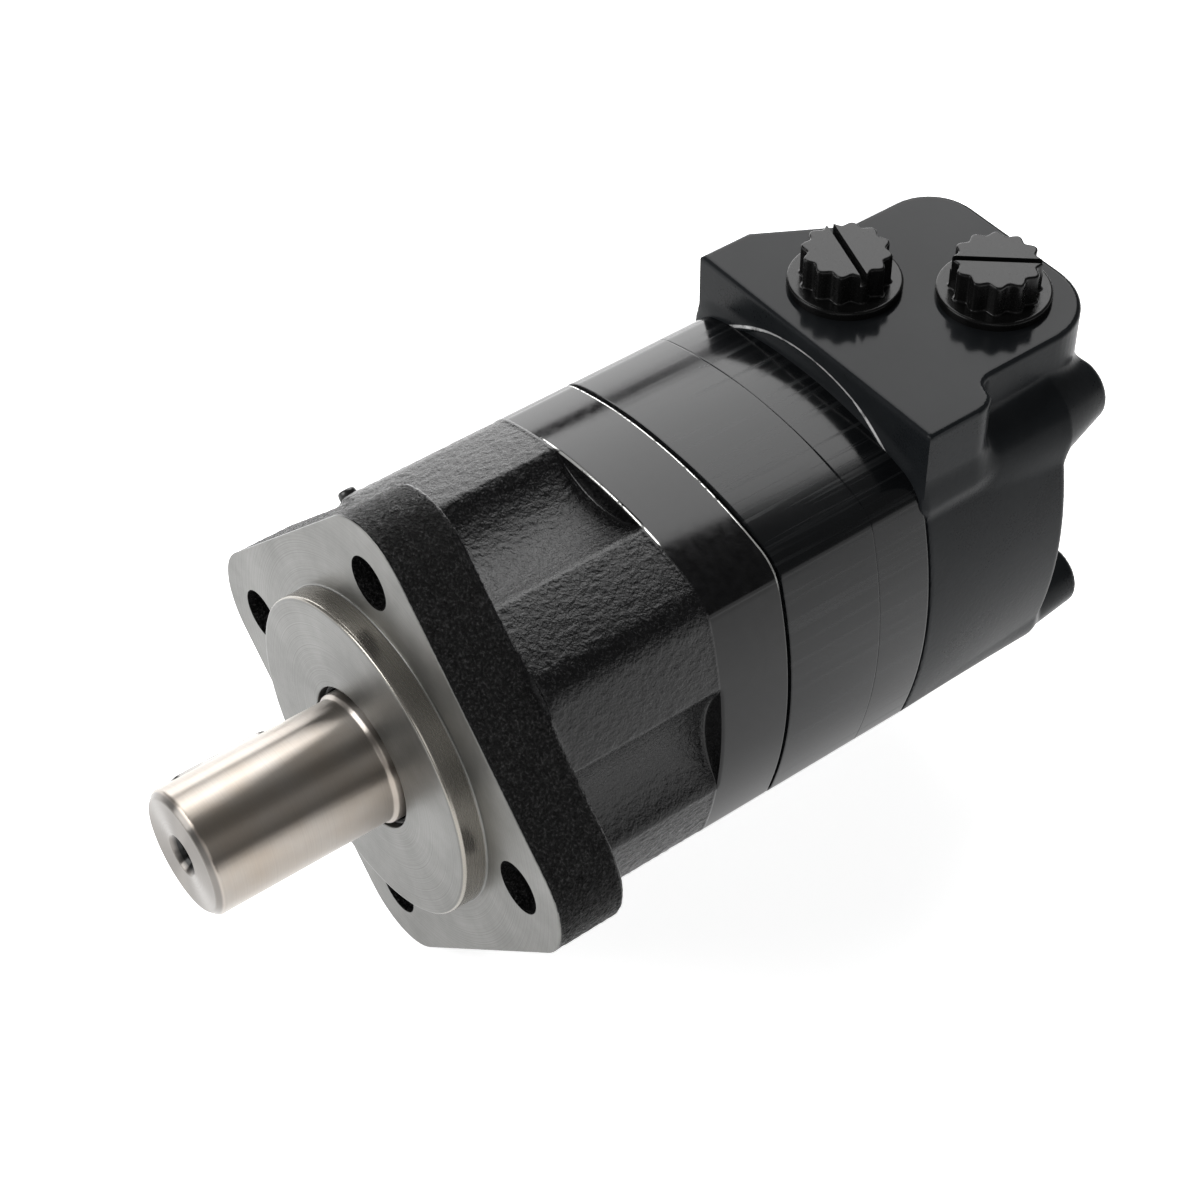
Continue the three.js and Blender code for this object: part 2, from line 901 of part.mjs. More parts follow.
function valveHousing() {
  const body = draftedBody();
  const boss = steppedY([
    [33, Y.sideWallRear - 1],
    [33, Y.rearBoss - 2],
    [31, Y.rearBoss],
  ]);
  const block = alongZ(portBlockOutline(), 34, PORT_FACE_Z);
  const lobes = CORNERS.map(([x, z]) => lobe(x * LOBE_AT.x, z * LOBE_AT.z, z > 0));
  const cavity = steppedY([
    [31.5, Y.valveHousingFront - 1],
    [31.5, 146.5],
    [GUIDE_R, 146.5],
    [GUIDE_R, 153],
    [11, 153],
    [11, 172],
  ]);
  const hub = ringY(10.9, HUB_R, 148, 154, MID);
  const bores = PORTS.map(({ x, y }) =>
    rodZ(x, y, PORT_R, PORT_FACE_Z - PORT_DEPTH, PORT_FACE_Z + 1, 28),
  );
  const spotFaces = PORTS.map(({ x, y }) =>
    rodZ(x, y, SPOT_FACE_R, PORT_FACE_Z - SPOT_FACE_DEPTH, PORT_FACE_Z + 1, 28),
  );
  const passages = [
    rodZ(PORTS[0].x, 141.5, 4.8, 24, PORT_FACE_Z - PORT_DEPTH + 1, 16),
    rodZ(8, 168, 3.4, 3, PORT_FACE_Z - PORT_DEPTH + 1, 16),
  ];
  const counterbores = CORNERS.map(([x, z]) =>
    rodY(
      x * BOLT_AT,
      z * BOLT_AT,
      COUNTERBORE_R,
      COUNTERBORE_FLOOR,
      Y.lobeRear + 1,
      18,
    ),
  );
  return cut(
    join(body, boss, block, ...lobes),
    cut(cavity, hub),
    ...bores,
    ...spotFaces,
    ...passages,
    ...counterbores,
    ...boltHoles(Y.valveHousingFront - 1, COUNTERBORE_FLOOR + 1),
    ...pinHoles(2.3, 152, 159),
    ...springPockets(2.8, 152, 158),
    oringGroove(Y.valveHousingFront),
  );
}
add("valve_housing", valveHousing(), castBlack());

// ---- section seals ----
const sectionSeal = (name, yFrom) =>
  add(
    name,
    ringY(ORING_INNER_R, ORING_OUTER_R, yFrom, yFrom + ORING_DEPTH, MID),
    rubber(),
  );
sectionSeal("front_section_seal", Y.ringFront - ORING_DEPTH - 0.05);
sectionSeal("middle_section_seal", Y.plateFront + 0.05);
sectionSeal("rear_section_seal", Y.valveHousingFront + 0.05);

// ---- cap bolts ----
function capBolt() {
  const headRear = COUNTERBORE_FLOOR + 8;
  const shank = rodY(0, 0, BOLT_SHANK_R, BOLT_TIP, COUNTERBORE_FLOOR + 1, 12);
  const head = rodY(
    0,
    0,
    BOLT_HEAD_R,
    COUNTERBORE_FLOOR + 0.1,
    headRear,
    18,
  );
  const hexSocket = rodY(0, 0, 3.6, headRear - 4, headRear + 1, 6);
  return cut(join(shank, head), hexSocket);
}
for (const [index, [x, z]] of CORNERS.entries()) {
  add(
    "cap_bolt_" + (index + 1),
    capBolt().translate([x * BOLT_AT, 0, z * BOLT_AT]),
    zincSteel(),
  );
}

// ---- case drain plug ----
const drainPlug = steppedY(
  [
    [DRAIN_HOLE_R - 0.2, DRAIN_SEAT - 7],
    [DRAIN_HOLE_R - 0.2, DRAIN_SEAT + 0.1],
    [DRAIN_HEAD_R, DRAIN_SEAT + 0.1],
    [DRAIN_HEAD_R, DRAIN_SEAT + 0.55 * DRAIN_HEAD_HEIGHT],
    [0.78 * DRAIN_HEAD_R, DRAIN_SEAT + 0.87 * DRAIN_HEAD_HEIGHT],
    [0.35 * DRAIN_HEAD_R, DRAIN_SEAT + DRAIN_HEAD_HEIGHT],
  ],
  COARSE,
).rotate([90, 0, 0]);
add("case_drain_plug", towardsDrain(drainPlug), zincSteel());

// ---- port plugs ----
const PLUG_FLANGE_R = 14.2;
const PLUG_HEAD_R = 11.1;
const FLUTES = 12;
const SPIGOT_LENGTH = 3;

function portPlug() {
  const seat = PORT_FACE_Z - SPOT_FACE_DEPTH + 0.15;
  const flangeTop = PORT_FACE_Z + 2.2;
  const headTop = PORT_FACE_Z + 10.5;
  const flange = rodZ(0, 0, PLUG_FLANGE_R, seat, flangeTop, 36);
  const spigot = rodZ(0, 0, PORT_R - 0.4, PORT_FACE_Z - SPIGOT_LENGTH, seat + 0.5, 28);
  const outline = [];
  for (let k = 0; k < 4 * FLUTES; k += 1) {
    const a = (2 * Math.PI * k) / (4 * FLUTES);
    const r = PLUG_HEAD_R - 0.45 + 0.45 * Math.cos(FLUTES * a);
    outline.push([r * Math.cos(a), r * Math.sin(a)]);
  }
  const head = alongZ(outline, flangeTop - 0.5, headTop);
  const slot = alongZ(
    [
      [-PLUG_HEAD_R - 1, -0.9],
      [PLUG_HEAD_R + 1, -0.9],
      [PLUG_HEAD_R + 1, 0.9],
      [-PLUG_HEAD_R - 1, 0.9],
    ],
    headTop - 3,
    headTop + 1,
  );
  return cut(join(flange, spigot, head), slot);
}
for (const { name, x, y, slotTurn } of PORTS) {
  add(
    name,
    portPlug().rotate([0, 0, slotTurn]).translate([x, y, 0]),
    darkPlastic(),
  );
}

export default motor;
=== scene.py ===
"""Looks of the disc-valve orbital hydraulic motor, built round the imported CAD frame.

Lengths are in millimetres up to the point where a mesh is made, and in metres from there on.
The shaft axis is Y and the shaft points to -Y. The ports look up, +Z.
"""

import json
import math

import bmesh
import bpy
import numpy as np
from mathutils import Matrix, Vector, noise


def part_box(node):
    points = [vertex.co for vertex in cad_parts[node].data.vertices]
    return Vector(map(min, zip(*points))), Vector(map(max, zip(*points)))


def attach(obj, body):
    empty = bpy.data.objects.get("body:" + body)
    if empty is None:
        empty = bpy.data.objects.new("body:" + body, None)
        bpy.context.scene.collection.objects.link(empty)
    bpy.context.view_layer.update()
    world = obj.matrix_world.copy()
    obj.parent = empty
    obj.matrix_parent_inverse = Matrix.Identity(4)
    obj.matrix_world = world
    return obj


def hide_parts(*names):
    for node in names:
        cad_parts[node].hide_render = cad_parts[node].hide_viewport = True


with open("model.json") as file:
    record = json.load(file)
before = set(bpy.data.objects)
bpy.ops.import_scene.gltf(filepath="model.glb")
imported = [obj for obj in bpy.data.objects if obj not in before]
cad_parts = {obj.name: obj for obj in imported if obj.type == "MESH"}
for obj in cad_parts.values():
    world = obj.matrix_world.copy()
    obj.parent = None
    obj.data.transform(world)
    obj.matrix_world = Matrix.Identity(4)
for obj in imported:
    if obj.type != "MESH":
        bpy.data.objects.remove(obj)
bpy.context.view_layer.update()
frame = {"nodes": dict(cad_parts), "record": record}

MM = 0.001


def span(node, axis):
    """A CAD node's lowest and highest place on one axis, in millimetres."""
    low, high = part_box(node)
    return low[axis] / MM, high[axis] / MM


# ---- stations along the shaft axis, from the frame ----
PILOT_FACE, RING_FRONT = span("bearing_housing", 1)
PLATE_FRONT, HOUSING_FRONT = span("valve_plate", 1)
SHAFT_TIP, SHAFT_REAR = span("output_shaft", 1)
HOUSING_REAR = span("valve_housing", 1)[1]
PORT_FACE = span("valve_housing", 2)[1]
FLOOR = span("bearing_housing", 2)[0]
KEY_FRONT, KEY_REAR = span("shaft_key", 1)
KEY_OUT = -span("shaft_key", 0)[0]

# ---- stations inside a node, so repeated from the CAD ----
FLANGE_REAR = 18.0
COLLAR_FRONT = 62.8
SIDE_WALL_REAR = 172.6
REAR_BOSS = 180.0
BOLT_TIP = 66
SPOT_FACE = 179

# ---- radii and section shape, as in the CAD ----
PILOT_R = 41.25
BOLT_CIRCLE_R = 53.2
MOUNT_HOLE_R = 6.75
FLANGE_HALF = 54.2
FLANGE_CORNER_R = 18.2
BODY_HALF = 47.3
SIDE_ARC_R = 120.0
CORNER_AT = 32.1
CORNER_R = 10.4
POCKET_FLOOR = 40.5
POCKET_R = 27.9
SHAFT_R = 15.875
JOURNAL_R = 16.7
BOLT_AT = 31.8
BOLT_HOLE_R = 4.3
SPOT_FACE_R = 6.25
CORNERS = [(1, 1), (-1, 1), (-1, -1), (1, -1)]
TURNED_ARC_R = 52.15
SEAL_GROOVE_IN, SEAL_GROOVE_OUT, SEAL_GROOVE_DEEP = 37.45, 39.55, 1.75
ROLLERS = 7
PORT_R = 11.1
# Each port's x and y, and how far its plug's slot is turned, in degrees.
PORTS = {"front": (-12.3, 147.0, -18.0), "rear": (12.6, 173.0, 49.0)}

# ---- finer shape that the CAD doesn't have ----
GROOVE_DEPTH = 1.4
GROOVE_IN_COLLAR, GROOVE_IN_RING, GROOVE_IN_PLATE = 0.4, 0.45, 0.7
BLOCK_FILLET = 4.5

# ---- how meshes are made: an angle in degrees, two lengths in metres, and the steps of lofts ----
SMOOTH_ANGLE = 35
SAME_POINT = 2e-6
NO_LENGTH = 1e-7
FULL_TURN = np.linspace(0, 2 * math.pi, 900, endpoint=False)
PART_TURN = np.linspace(0, 2 * math.pi, 720, endpoint=False)


# ---- sections in polar form: the radius of an outline at each angle ----
def side_frame(angle):
    """The angle from the middle of the nearest of the section's four sides."""
    quarter = math.pi / 2
    return (angle + quarter / 2) % quarter - quarter / 2


def ray_to_circle(angle, x, z, r):
    """How far a ray from the axis goes to the far side of a circle, or 0 where it misses."""
    along = x * np.cos(angle) + z * np.sin(angle)
    room = r * r - (x * x + z * z - along * along)
    return np.where(room > 0, along + np.sqrt(np.maximum(room, 0)), 0)


def body_radius(angle):
    turned = np.abs(side_frame(angle))
    centre = BODY_HALF - SIDE_ARC_R
    lean = math.atan2(CORNER_AT, CORNER_AT - centre)
    tangent = math.atan2(CORNER_AT + CORNER_R * math.sin(lean), CORNER_AT + CORNER_R * math.cos(lean))
    side = ray_to_circle(turned, centre, 0, SIDE_ARC_R)
    corner = ray_to_circle(turned, CORNER_AT, CORNER_AT, CORNER_R)
    return np.where(turned < tangent, side, corner)


def flange_radius(angle):
    turned = np.abs(side_frame(angle - math.pi / 4))
    corner_at = FLANGE_HALF - FLANGE_CORNER_R
    flat = FLANGE_HALF / np.cos(turned)
    corner = ray_to_circle(turned, corner_at, corner_at, FLANGE_CORNER_R)
    return np.where(turned < math.atan2(corner_at, FLANGE_HALF), flat, corner)


def neck_radius(angle):
    """The body's section with a round pocket in each side, and soft ridges between them."""
    turned = np.abs(side_frame(angle))
    centre = POCKET_FLOOR + POCKET_R
    room = np.maximum(POCKET_R**2 - (centre * np.sin(turned)) ** 2, 0)
    pocket = np.where(room > 0, centre * np.cos(turned) - np.sqrt(room), 99.0)
    body = body_radius(angle)
    soft = 1.6
    gap = np.clip((body - pocket) / soft, -1, 1)
    blend = soft * (1 - np.abs(gap)) ** 2 / 4
    return np.minimum(body, pocket) - blend


# ---- meshes ----
def shade(mesh, smooth_angle=SMOOTH_ANGLE):
    """Shades a mesh smooth but for the edges sharper than an angle in degrees."""
    mesh.shade_smooth()
    mesh.set_sharp_from_angle(angle=math.radians(smooth_angle))


def new_piece(name, points, faces, smooth_angle=SMOOTH_ANGLE):
    """An object from points in millimetres, shaded smooth but for its sharp edges."""
    mesh = bpy.data.meshes.new(name)
    mesh.from_pydata((np.asarray(points, float) * MM).tolist(), [], faces)
    mesh.validate()
    obj = bpy.data.objects.new(name, mesh)
    bpy.context.scene.collection.objects.link(obj)
    clean(obj)
    shade(mesh, smooth_angle)
    return obj


def clean(obj):
    """Merges doubled points and turns every face outwards."""
    bm = bmesh.new()
    bm.from_mesh(obj.data)
    bmesh.ops.remove_doubles(bm, verts=bm.verts, dist=SAME_POINT)
    bmesh.ops.dissolve_degenerate(bm, edges=bm.edges, dist=NO_LENGTH)
    bmesh.ops.recalc_face_normals(bm, faces=bm.faces)
    bm.to_mesh(obj.data)
    bm.free()


def sharp(*places):
    """Corners of a path that stay sharp, from their (r, y)."""
    return [(r, y, 0, 1, 0) for r, y in places]


def rounded_path(corners):
    """Points along a closed path whose corners are cut back and rounded.

    corners: [(r, y, setback, arc steps, points on the line after it)].
    r may be an array, one for each angle. A long line also gets a support point near each of its ends.
    Returns r and y, each as [point, angle].
    """
    support_at, long_enough = 0.25, 1.5
    count = max(np.size(c[0]) for c in corners)
    at = np.array([
        [np.broadcast_to(c[0], count), np.broadcast_to(float(c[1]), count)] for c in corners
    ])
    out = []
    total = len(corners)
    for i, (_, _, setback, steps, after) in enumerate(corners):
        here = at[i]
        before = at[i - 1] - here
        beyond = at[(i + 1) % total] - here
        ends = []
        for leg in (before, beyond):
            size = np.maximum(np.hypot(*leg), 1e-9)
            ends.append(here + leg / size * np.minimum(setback, 0.45 * size))
        for s in np.linspace(0, 1, steps + 1) if setback else [0.5]:
            out.append((1 - s) ** 2 * ends[0] + 2 * s * (1 - s) * here + s * s * ends[1])
        following = at[(i + 1) % total]
        size = np.maximum(np.hypot(*beyond), 1e-9)
        back = np.minimum(corners[(i + 1) % total][2], 0.45 * size)
        target = following - beyond / size * back
        if size.min() > long_enough:
            out.append(ends[1] + (target - ends[1]) * support_at / size)
        for k in range(1, after + 1):
            out.append(ends[1] + (target - ends[1]) * k / (after + 1))
        if size.min() > long_enough:
            out.append(target + (ends[1] - target) * support_at / size)
    path = np.array(out)
    return path[:, 0], path[:, 1]


def loft_y(name, corners, angles):
    """A closed body round the shaft axis from a closed path of corners."""
    r, y = rounded_path(corners)
    rows, count = r.shape[0], len(angles)
    if r.shape[1] == 1:
        r, y = np.repeat(r, count, 1), np.repeat(y, count, 1)
    points = np.stack([r * np.cos(angles), y, r * np.sin(angles)], -1).reshape(-1, 3)
    faces = []
    for i in range(rows):
        row, following = i * count, (i + 1) % rows * count
        for j in range(count):
            beyond = (j + 1) % count
            faces.append((row + j, row + beyond, following + beyond, following + j))
    return new_piece(name, points, faces)


def turn_y(name, corners, steps=128):
    return loft_y(name, corners, np.linspace(0, 2 * math.pi, steps, endpoint=False))


def prism(outline, low, high, axis):
    """A plain closed prism along 'y' (outline in X, Z), 'z' (in X, Y) or '-x' (in Z, Y)."""
    n = len(outline)
    place = {
        "y": lambda u, v, w: (u, w, v),
        "z": lambda u, v, w: (u, v, w),
        "-x": lambda u, v, w: (-w, v, u),
    }[axis]
    points = [place(u, v, w) for w in (low, high) for u, v in outline]
    faces = [tuple(range(n)), tuple(range(n, 2 * n))]
    faces += [(j, (j + 1) % n, n + (j + 1) % n, n + j) for j in range(n)]
    return points, faces


def circle(u, v, r, steps=48):
    return [
        (u + r * math.cos(2 * math.pi * k / steps), v + r * math.sin(2 * math.pi * k / steps))
        for k in range(steps)
    ]


def arc(u, v, r, start, end, steps):
    """Points on an arc between two angles in degrees."""
    turns = [math.radians(start + (end - start) * k / steps) for k in range(steps + 1)]
    return [(u + r * math.cos(turn), v + r * math.sin(turn)) for turn in turns]


def carve(obj, *prisms):
    """Cuts prisms that don't meet each other out of obj."""
    points, faces = [], []
    for some_points, some_faces in prisms:
        faces += [tuple(len(points) + i for i in f) for f in some_faces]
        points += list(some_points)
    cutter = new_piece("cutter", points, faces)
    cut = obj.modifiers.new("cut", "BOOLEAN")
    cut.operation = "DIFFERENCE"
    cut.solver = "EXACT"
    cut.object = cutter
    depsgraph = bpy.context.evaluated_depsgraph_get()
    mesh = bpy.data.meshes.new_from_object(obj.evaluated_get(depsgraph))
    obj.modifiers.clear()
    obj.data = mesh
    bpy.data.objects.remove(cutter)
    shade(mesh)


def roughen(obj, depth, scale, mask):
    """Sinks the surface by up to depth, with lumps scale across, where mask(point) says."""
    mesh = obj.data
    count = len(mesh.vertices)
    points = np.zeros(count * 3)
    mesh.vertices.foreach_get("co", points)
    points = points.reshape(-1, 3) / MM
    normals = np.zeros(count * 3)
    mesh.vertices.foreach_get("normal", normals)
    share = mask(points)
    lumps = np.zeros(count)
    for i in np.nonzero(share > 0)[0]:
        p = Vector(points[i] / scale)
        lumps[i] = 0.5 + 0.42 * noise.noise(p) + 0.3 * noise.noise(p * 2.3)
    points -= normals.reshape(-1, 3) * (depth * share * np.clip(lumps, 0, 1.1))[:, None]
    mesh.vertices.foreach_set("co", (points * MM).ravel())
    mesh.update()


def show(obj, body, slot, material, *nodes):
    """Puts a finished piece on its CAD body in place of the nodes that it stands for."""
    obj.data.materials.clear()
    obj.data.materials.append(material)
    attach(obj, body)
    if nodes:
        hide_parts(*nodes)
    return obj


# ---- solid shapes by distance, for the rear casting ----
def far(*parts):
    return np.sqrt(sum(p * p for p in parts))


def both(a, b, r):
    """What two fields share, with a round edge of radius r."""
    return np.minimum(-r, np.maximum(a, b)) + far(np.maximum(r + a, 0), np.maximum(r + b, 0))


def either(a, b, r):
    """Two fields joined, with a fillet of radius r."""
    return np.maximum(r, np.minimum(a, b)) - far(np.maximum(r - a, 0), np.maximum(r - b, 0))


def between(value, low, high):
    return np.maximum(low - value, value - high)


def body_field(x, z):
    """Distance to the body's section."""
    u, v = np.maximum(abs(x), abs(z)), np.minimum(abs(x), abs(z))
    centre = BODY_HALF - SIDE_ARC_R
    tangent = math.atan2(CORNER_AT, CORNER_AT - centre)
    side = far(u - centre, v) - SIDE_ARC_R
    corner = far(abs(x) - CORNER_AT, abs(z) - CORNER_AT) - CORNER_R
    return np.where(np.arctan2(v, u - centre) <= tangent, side, corner)


def polygon_field(x, y, outline):
    """Distance to a polygon, less than 0 inside."""
    near = np.full(np.broadcast(x, y).shape, 1e9)
    inside = np.zeros(near.shape, bool)
    for (ax, ay), (bx, by) in zip(outline, outline[1:] + outline[:1]):
        ex, ey = bx - ax, by - ay
        t = np.clip(((x - ax) * ex + (y - ay) * ey) / (ex * ex + ey * ey), 0, 1)
        near = np.minimum(near, (x - ax - t * ex) ** 2 + (y - ay - t * ey) ** 2)
        if ay != by:
            crosses = (ay > y) != (by > y)
            inside ^= crosses & (x < ax + ex * (y - ay) / ey)
    return np.sqrt(near) * np.where(inside, -1, 1)


def contour(field, low, high, step):
    """Points and faces of the surface where field is 0, with its sharp edges kept."""
    axes = [np.arange(a - 1.5 * step, b + 2.5 * step, step) for a, b in zip(low, high)]
    shaped = [axes[0][:, None, None], axes[1][None, :, None], axes[2][None, None, :]]
    values = field(*shaped) + np.zeros([len(a) for a in axes])
    inside = values < 0
    size = np.array(values.shape)
    edges = []
    for axis in range(3):
        ahead = [slice(None)] * 3
        ahead[axis] = slice(1, None)
        behind = [slice(None)] * 3
        behind[axis] = slice(None, -1)
        at = np.argwhere(inside[tuple(ahead)] != inside[tuple(behind)])
        beyond = at.copy()
        beyond[:, axis] += 1
        a, b = values[tuple(at.T)], values[tuple(beyond.T)]
        where = at.astype(float)
        where[:, axis] += a / (a - b)
        edges.append((axis, at, where, a < 0))
    places = [np.array([axes[k][0] for k in range(3)]) + w * step for _, _, w, _ in edges]
    crossing = np.concatenate(places)
    tiny = 0.02
    normals = np.empty_like(crossing)
    for k in range(3):
        shift = np.zeros(3)
        shift[k] = tiny
        ahead, behind = crossing + shift, crossing - shift
        normals[:, k] = field(*ahead.T) - field(*behind.T)
    normals /= np.maximum(np.linalg.norm(normals, axis=1), 1e-9)[:, None]

    cells, owners, start = [], [], 0
    for axis, at, _, _ in edges:
        p, q = (axis + 1) % 3, (axis + 2) % 3
        ring = []
        for dp, dq in ((0, 0), (-1, 0), (-1, -1), (0, -1)):
            cell = at.copy()
            cell[:, p] += dp
            cell[:, q] += dq
            ring.append(np.ravel_multi_index(cell.T, size))
        cells.append(np.stack(ring, 1))
        owners.append(np.arange(start, start + len(at)))
        start += len(at)
    cell_rows, owner_rows = np.concatenate(cells), np.concatenate(owners)
    used, index = np.unique(cell_rows.ravel(), return_inverse=True)
    index = index.reshape(-1)
    owner = np.repeat(owner_rows, 4)
    total = len(used)
    hits = np.bincount(index, minlength=total)
    mean = np.stack([np.bincount(index, crossing[owner, k], total) for k in range(3)], 1) / hits[:, None]
    lean = 0.04
    left = np.tile(np.eye(3) * lean, (total, 1, 1))
    right = np.zeros((total, 3))
    offset = np.einsum("ij,ij->i", normals[owner], crossing[owner] - mean[index])
    for i in range(3):
        right[:, i] = np.bincount(index, normals[owner, i] * offset, total)
        for j in range(3):
            left[:, i, j] += np.bincount(index, normals[owner, i] * normals[owner, j], total)
    moved = np.linalg.solve(left, right[:, :, None])[:, :, 0]
    furthest = 0.7 * step
    points = mean + np.clip(moved, -furthest, furthest)
    faces = index.reshape(-1, 4)
    flip = np.concatenate([f for _, _, _, f in edges])
    faces = np.where(flip[:, None], faces, faces[:, ::-1])
    return points, faces.tolist()


# ---- materials ----
class Finish:
    """A material with one Principled shader, built up by its nodes."""

    def __init__(self, name, roughness, metallic=0.0, **sockets):
        self.material = bpy.data.materials.new(name)
        self.material.use_nodes = True
        self.tree = self.material.node_tree
        self.shader = self.tree.nodes["Principled BSDF"]
        self.set(self.shader, Roughness=roughness, Metallic=metallic, **sockets)
        self.place = self.node("ShaderNodeTexCoord").outputs["Object"]

    def feed(self, sockets, values):
        """Links each value that is another node's output, and sets each one that is a number or a colour."""
        for socket, value in zip(sockets, values):
            if isinstance(value, bpy.types.NodeSocket):
                self.tree.links.new(value, socket)
            else:
                socket.default_value = value

    def set(self, node, **sockets):
        self.feed([node.inputs[name.replace("_", " ")] for name in sockets], sockets.values())

    def now(self, name):
        """What feeds one of the shader's sockets so far."""
        return self.shader.inputs[name].links[0].from_socket

    def node(self, kind, **settings):
        node = self.tree.nodes.new(kind)
        for name, value in settings.items():
            setattr(node, name, value)
        return node

    def scaled(self, x, y, z):
        """The place on the object in millimetres, times a factor on each axis."""
        mapping = self.node("ShaderNodeMapping")
        self.set(mapping, Vector=self.place, Scale=(x / MM, y / MM, z / MM))
        return mapping.outputs["Vector"]

    def noise(self, vector, scale=1.0, detail=3.0, roughness=0.55):
        node = self.node("ShaderNodeTexNoise")
        self.set(node, Vector=vector, Scale=scale, Detail=detail, Roughness=roughness)
        return node.outputs["Fac"]

    def math(self, operation, a, b=0.0):
        node = self.node("ShaderNodeMath", operation=operation)
        self.feed(node.inputs, (a, b))
        return node.outputs[0]

    def ranged(self, value, low, high, to_low, to_high):
        node = self.node("ShaderNodeMapRange")
        self.feed(node.inputs, (value, low, high, to_low, to_high))
        return node.outputs["Result"]

    def blend(self, share, a, b):
        """A colour from a to b."""
        node = self.node("ShaderNodeMix", data_type="RGBA")
        factor, first, second = (node.inputs[i] for i in (0, 6, 7))
        self.feed((factor, first, second), (share, a, b))
        return node.outputs[2]

    def turning(self, y, radius, pitch, detail, roughness):
        """Fine marks round the shaft axis, as a lathe leaves them."""
        node = self.node("ShaderNodeTexNoise", noise_dimensions="1D")
        place = self.math("MULTIPLY", self.math("ADD", radius, y), pitch)
        self.set(node, W=place, Scale=1.0, Detail=detail, Roughness=roughness)
        return node.outputs["Fac"]

    def bump(self, height, depth, under=None):
        """Relief of the given depth in millimetres."""
        node = self.node("ShaderNodeBump")
        self.set(node, Height=height, Distance=depth * MM, Strength=1.0)
        if under is not None:
            self.set(node, Normal=under)
        return node.outputs["Normal"]

    def axis_places(self):
        """x, y, z and the radius from the shaft axis, in millimetres."""
        split = self.node("ShaderNodeSeparateXYZ")
        self.set(split, Vector=self.scaled(1, 1, 1))
        x, y, z = split.outputs
        squares = self.math("ADD", self.math("MULTIPLY", x, x), self.math("MULTIPLY", z, z))
        return x, y, z, self.math("SQRT", squares)


def grey(value, warm=0.0):
    return (value * (1 + warm), value, value * (1 - warm), 1)


def painted(name, tone, roughness, peel, peel_scale, spread, level):
    """Black paint, a little cloudy, with orange peel in its relief and gloss uneven by spread."""
    f = Finish(name, roughness, Specular_IOR_Level=level)
    cloud = f.noise(f.scaled(0.05, 0.05, 0.05), 1, 4)
    fine = f.noise(f.scaled(1, 1, 1), 1.6, 4)
    dark, light = grey(tone * 0.8, -0.12), grey(tone * 1.25, -0.1)
    f.set(f.shader, Base_Color=f.blend(f.ranged(cloud, 0.3, 0.7, 0, 1), dark, light))
    mixed = f.math("ADD", f.math("MULTIPLY", cloud, 0.6), f.math("MULTIPLY", fine, 0.4))
    f.set(f.shader, Roughness=f.ranged(mixed, 0.3, 0.7, roughness - spread, roughness + spread))
    peel_bump = f.bump(f.noise(f.scaled(1, 1, 1), peel_scale, 2), peel)
    f.set(f.shader, Normal=f.bump(fine, peel / 4, under=peel_bump))
    return f


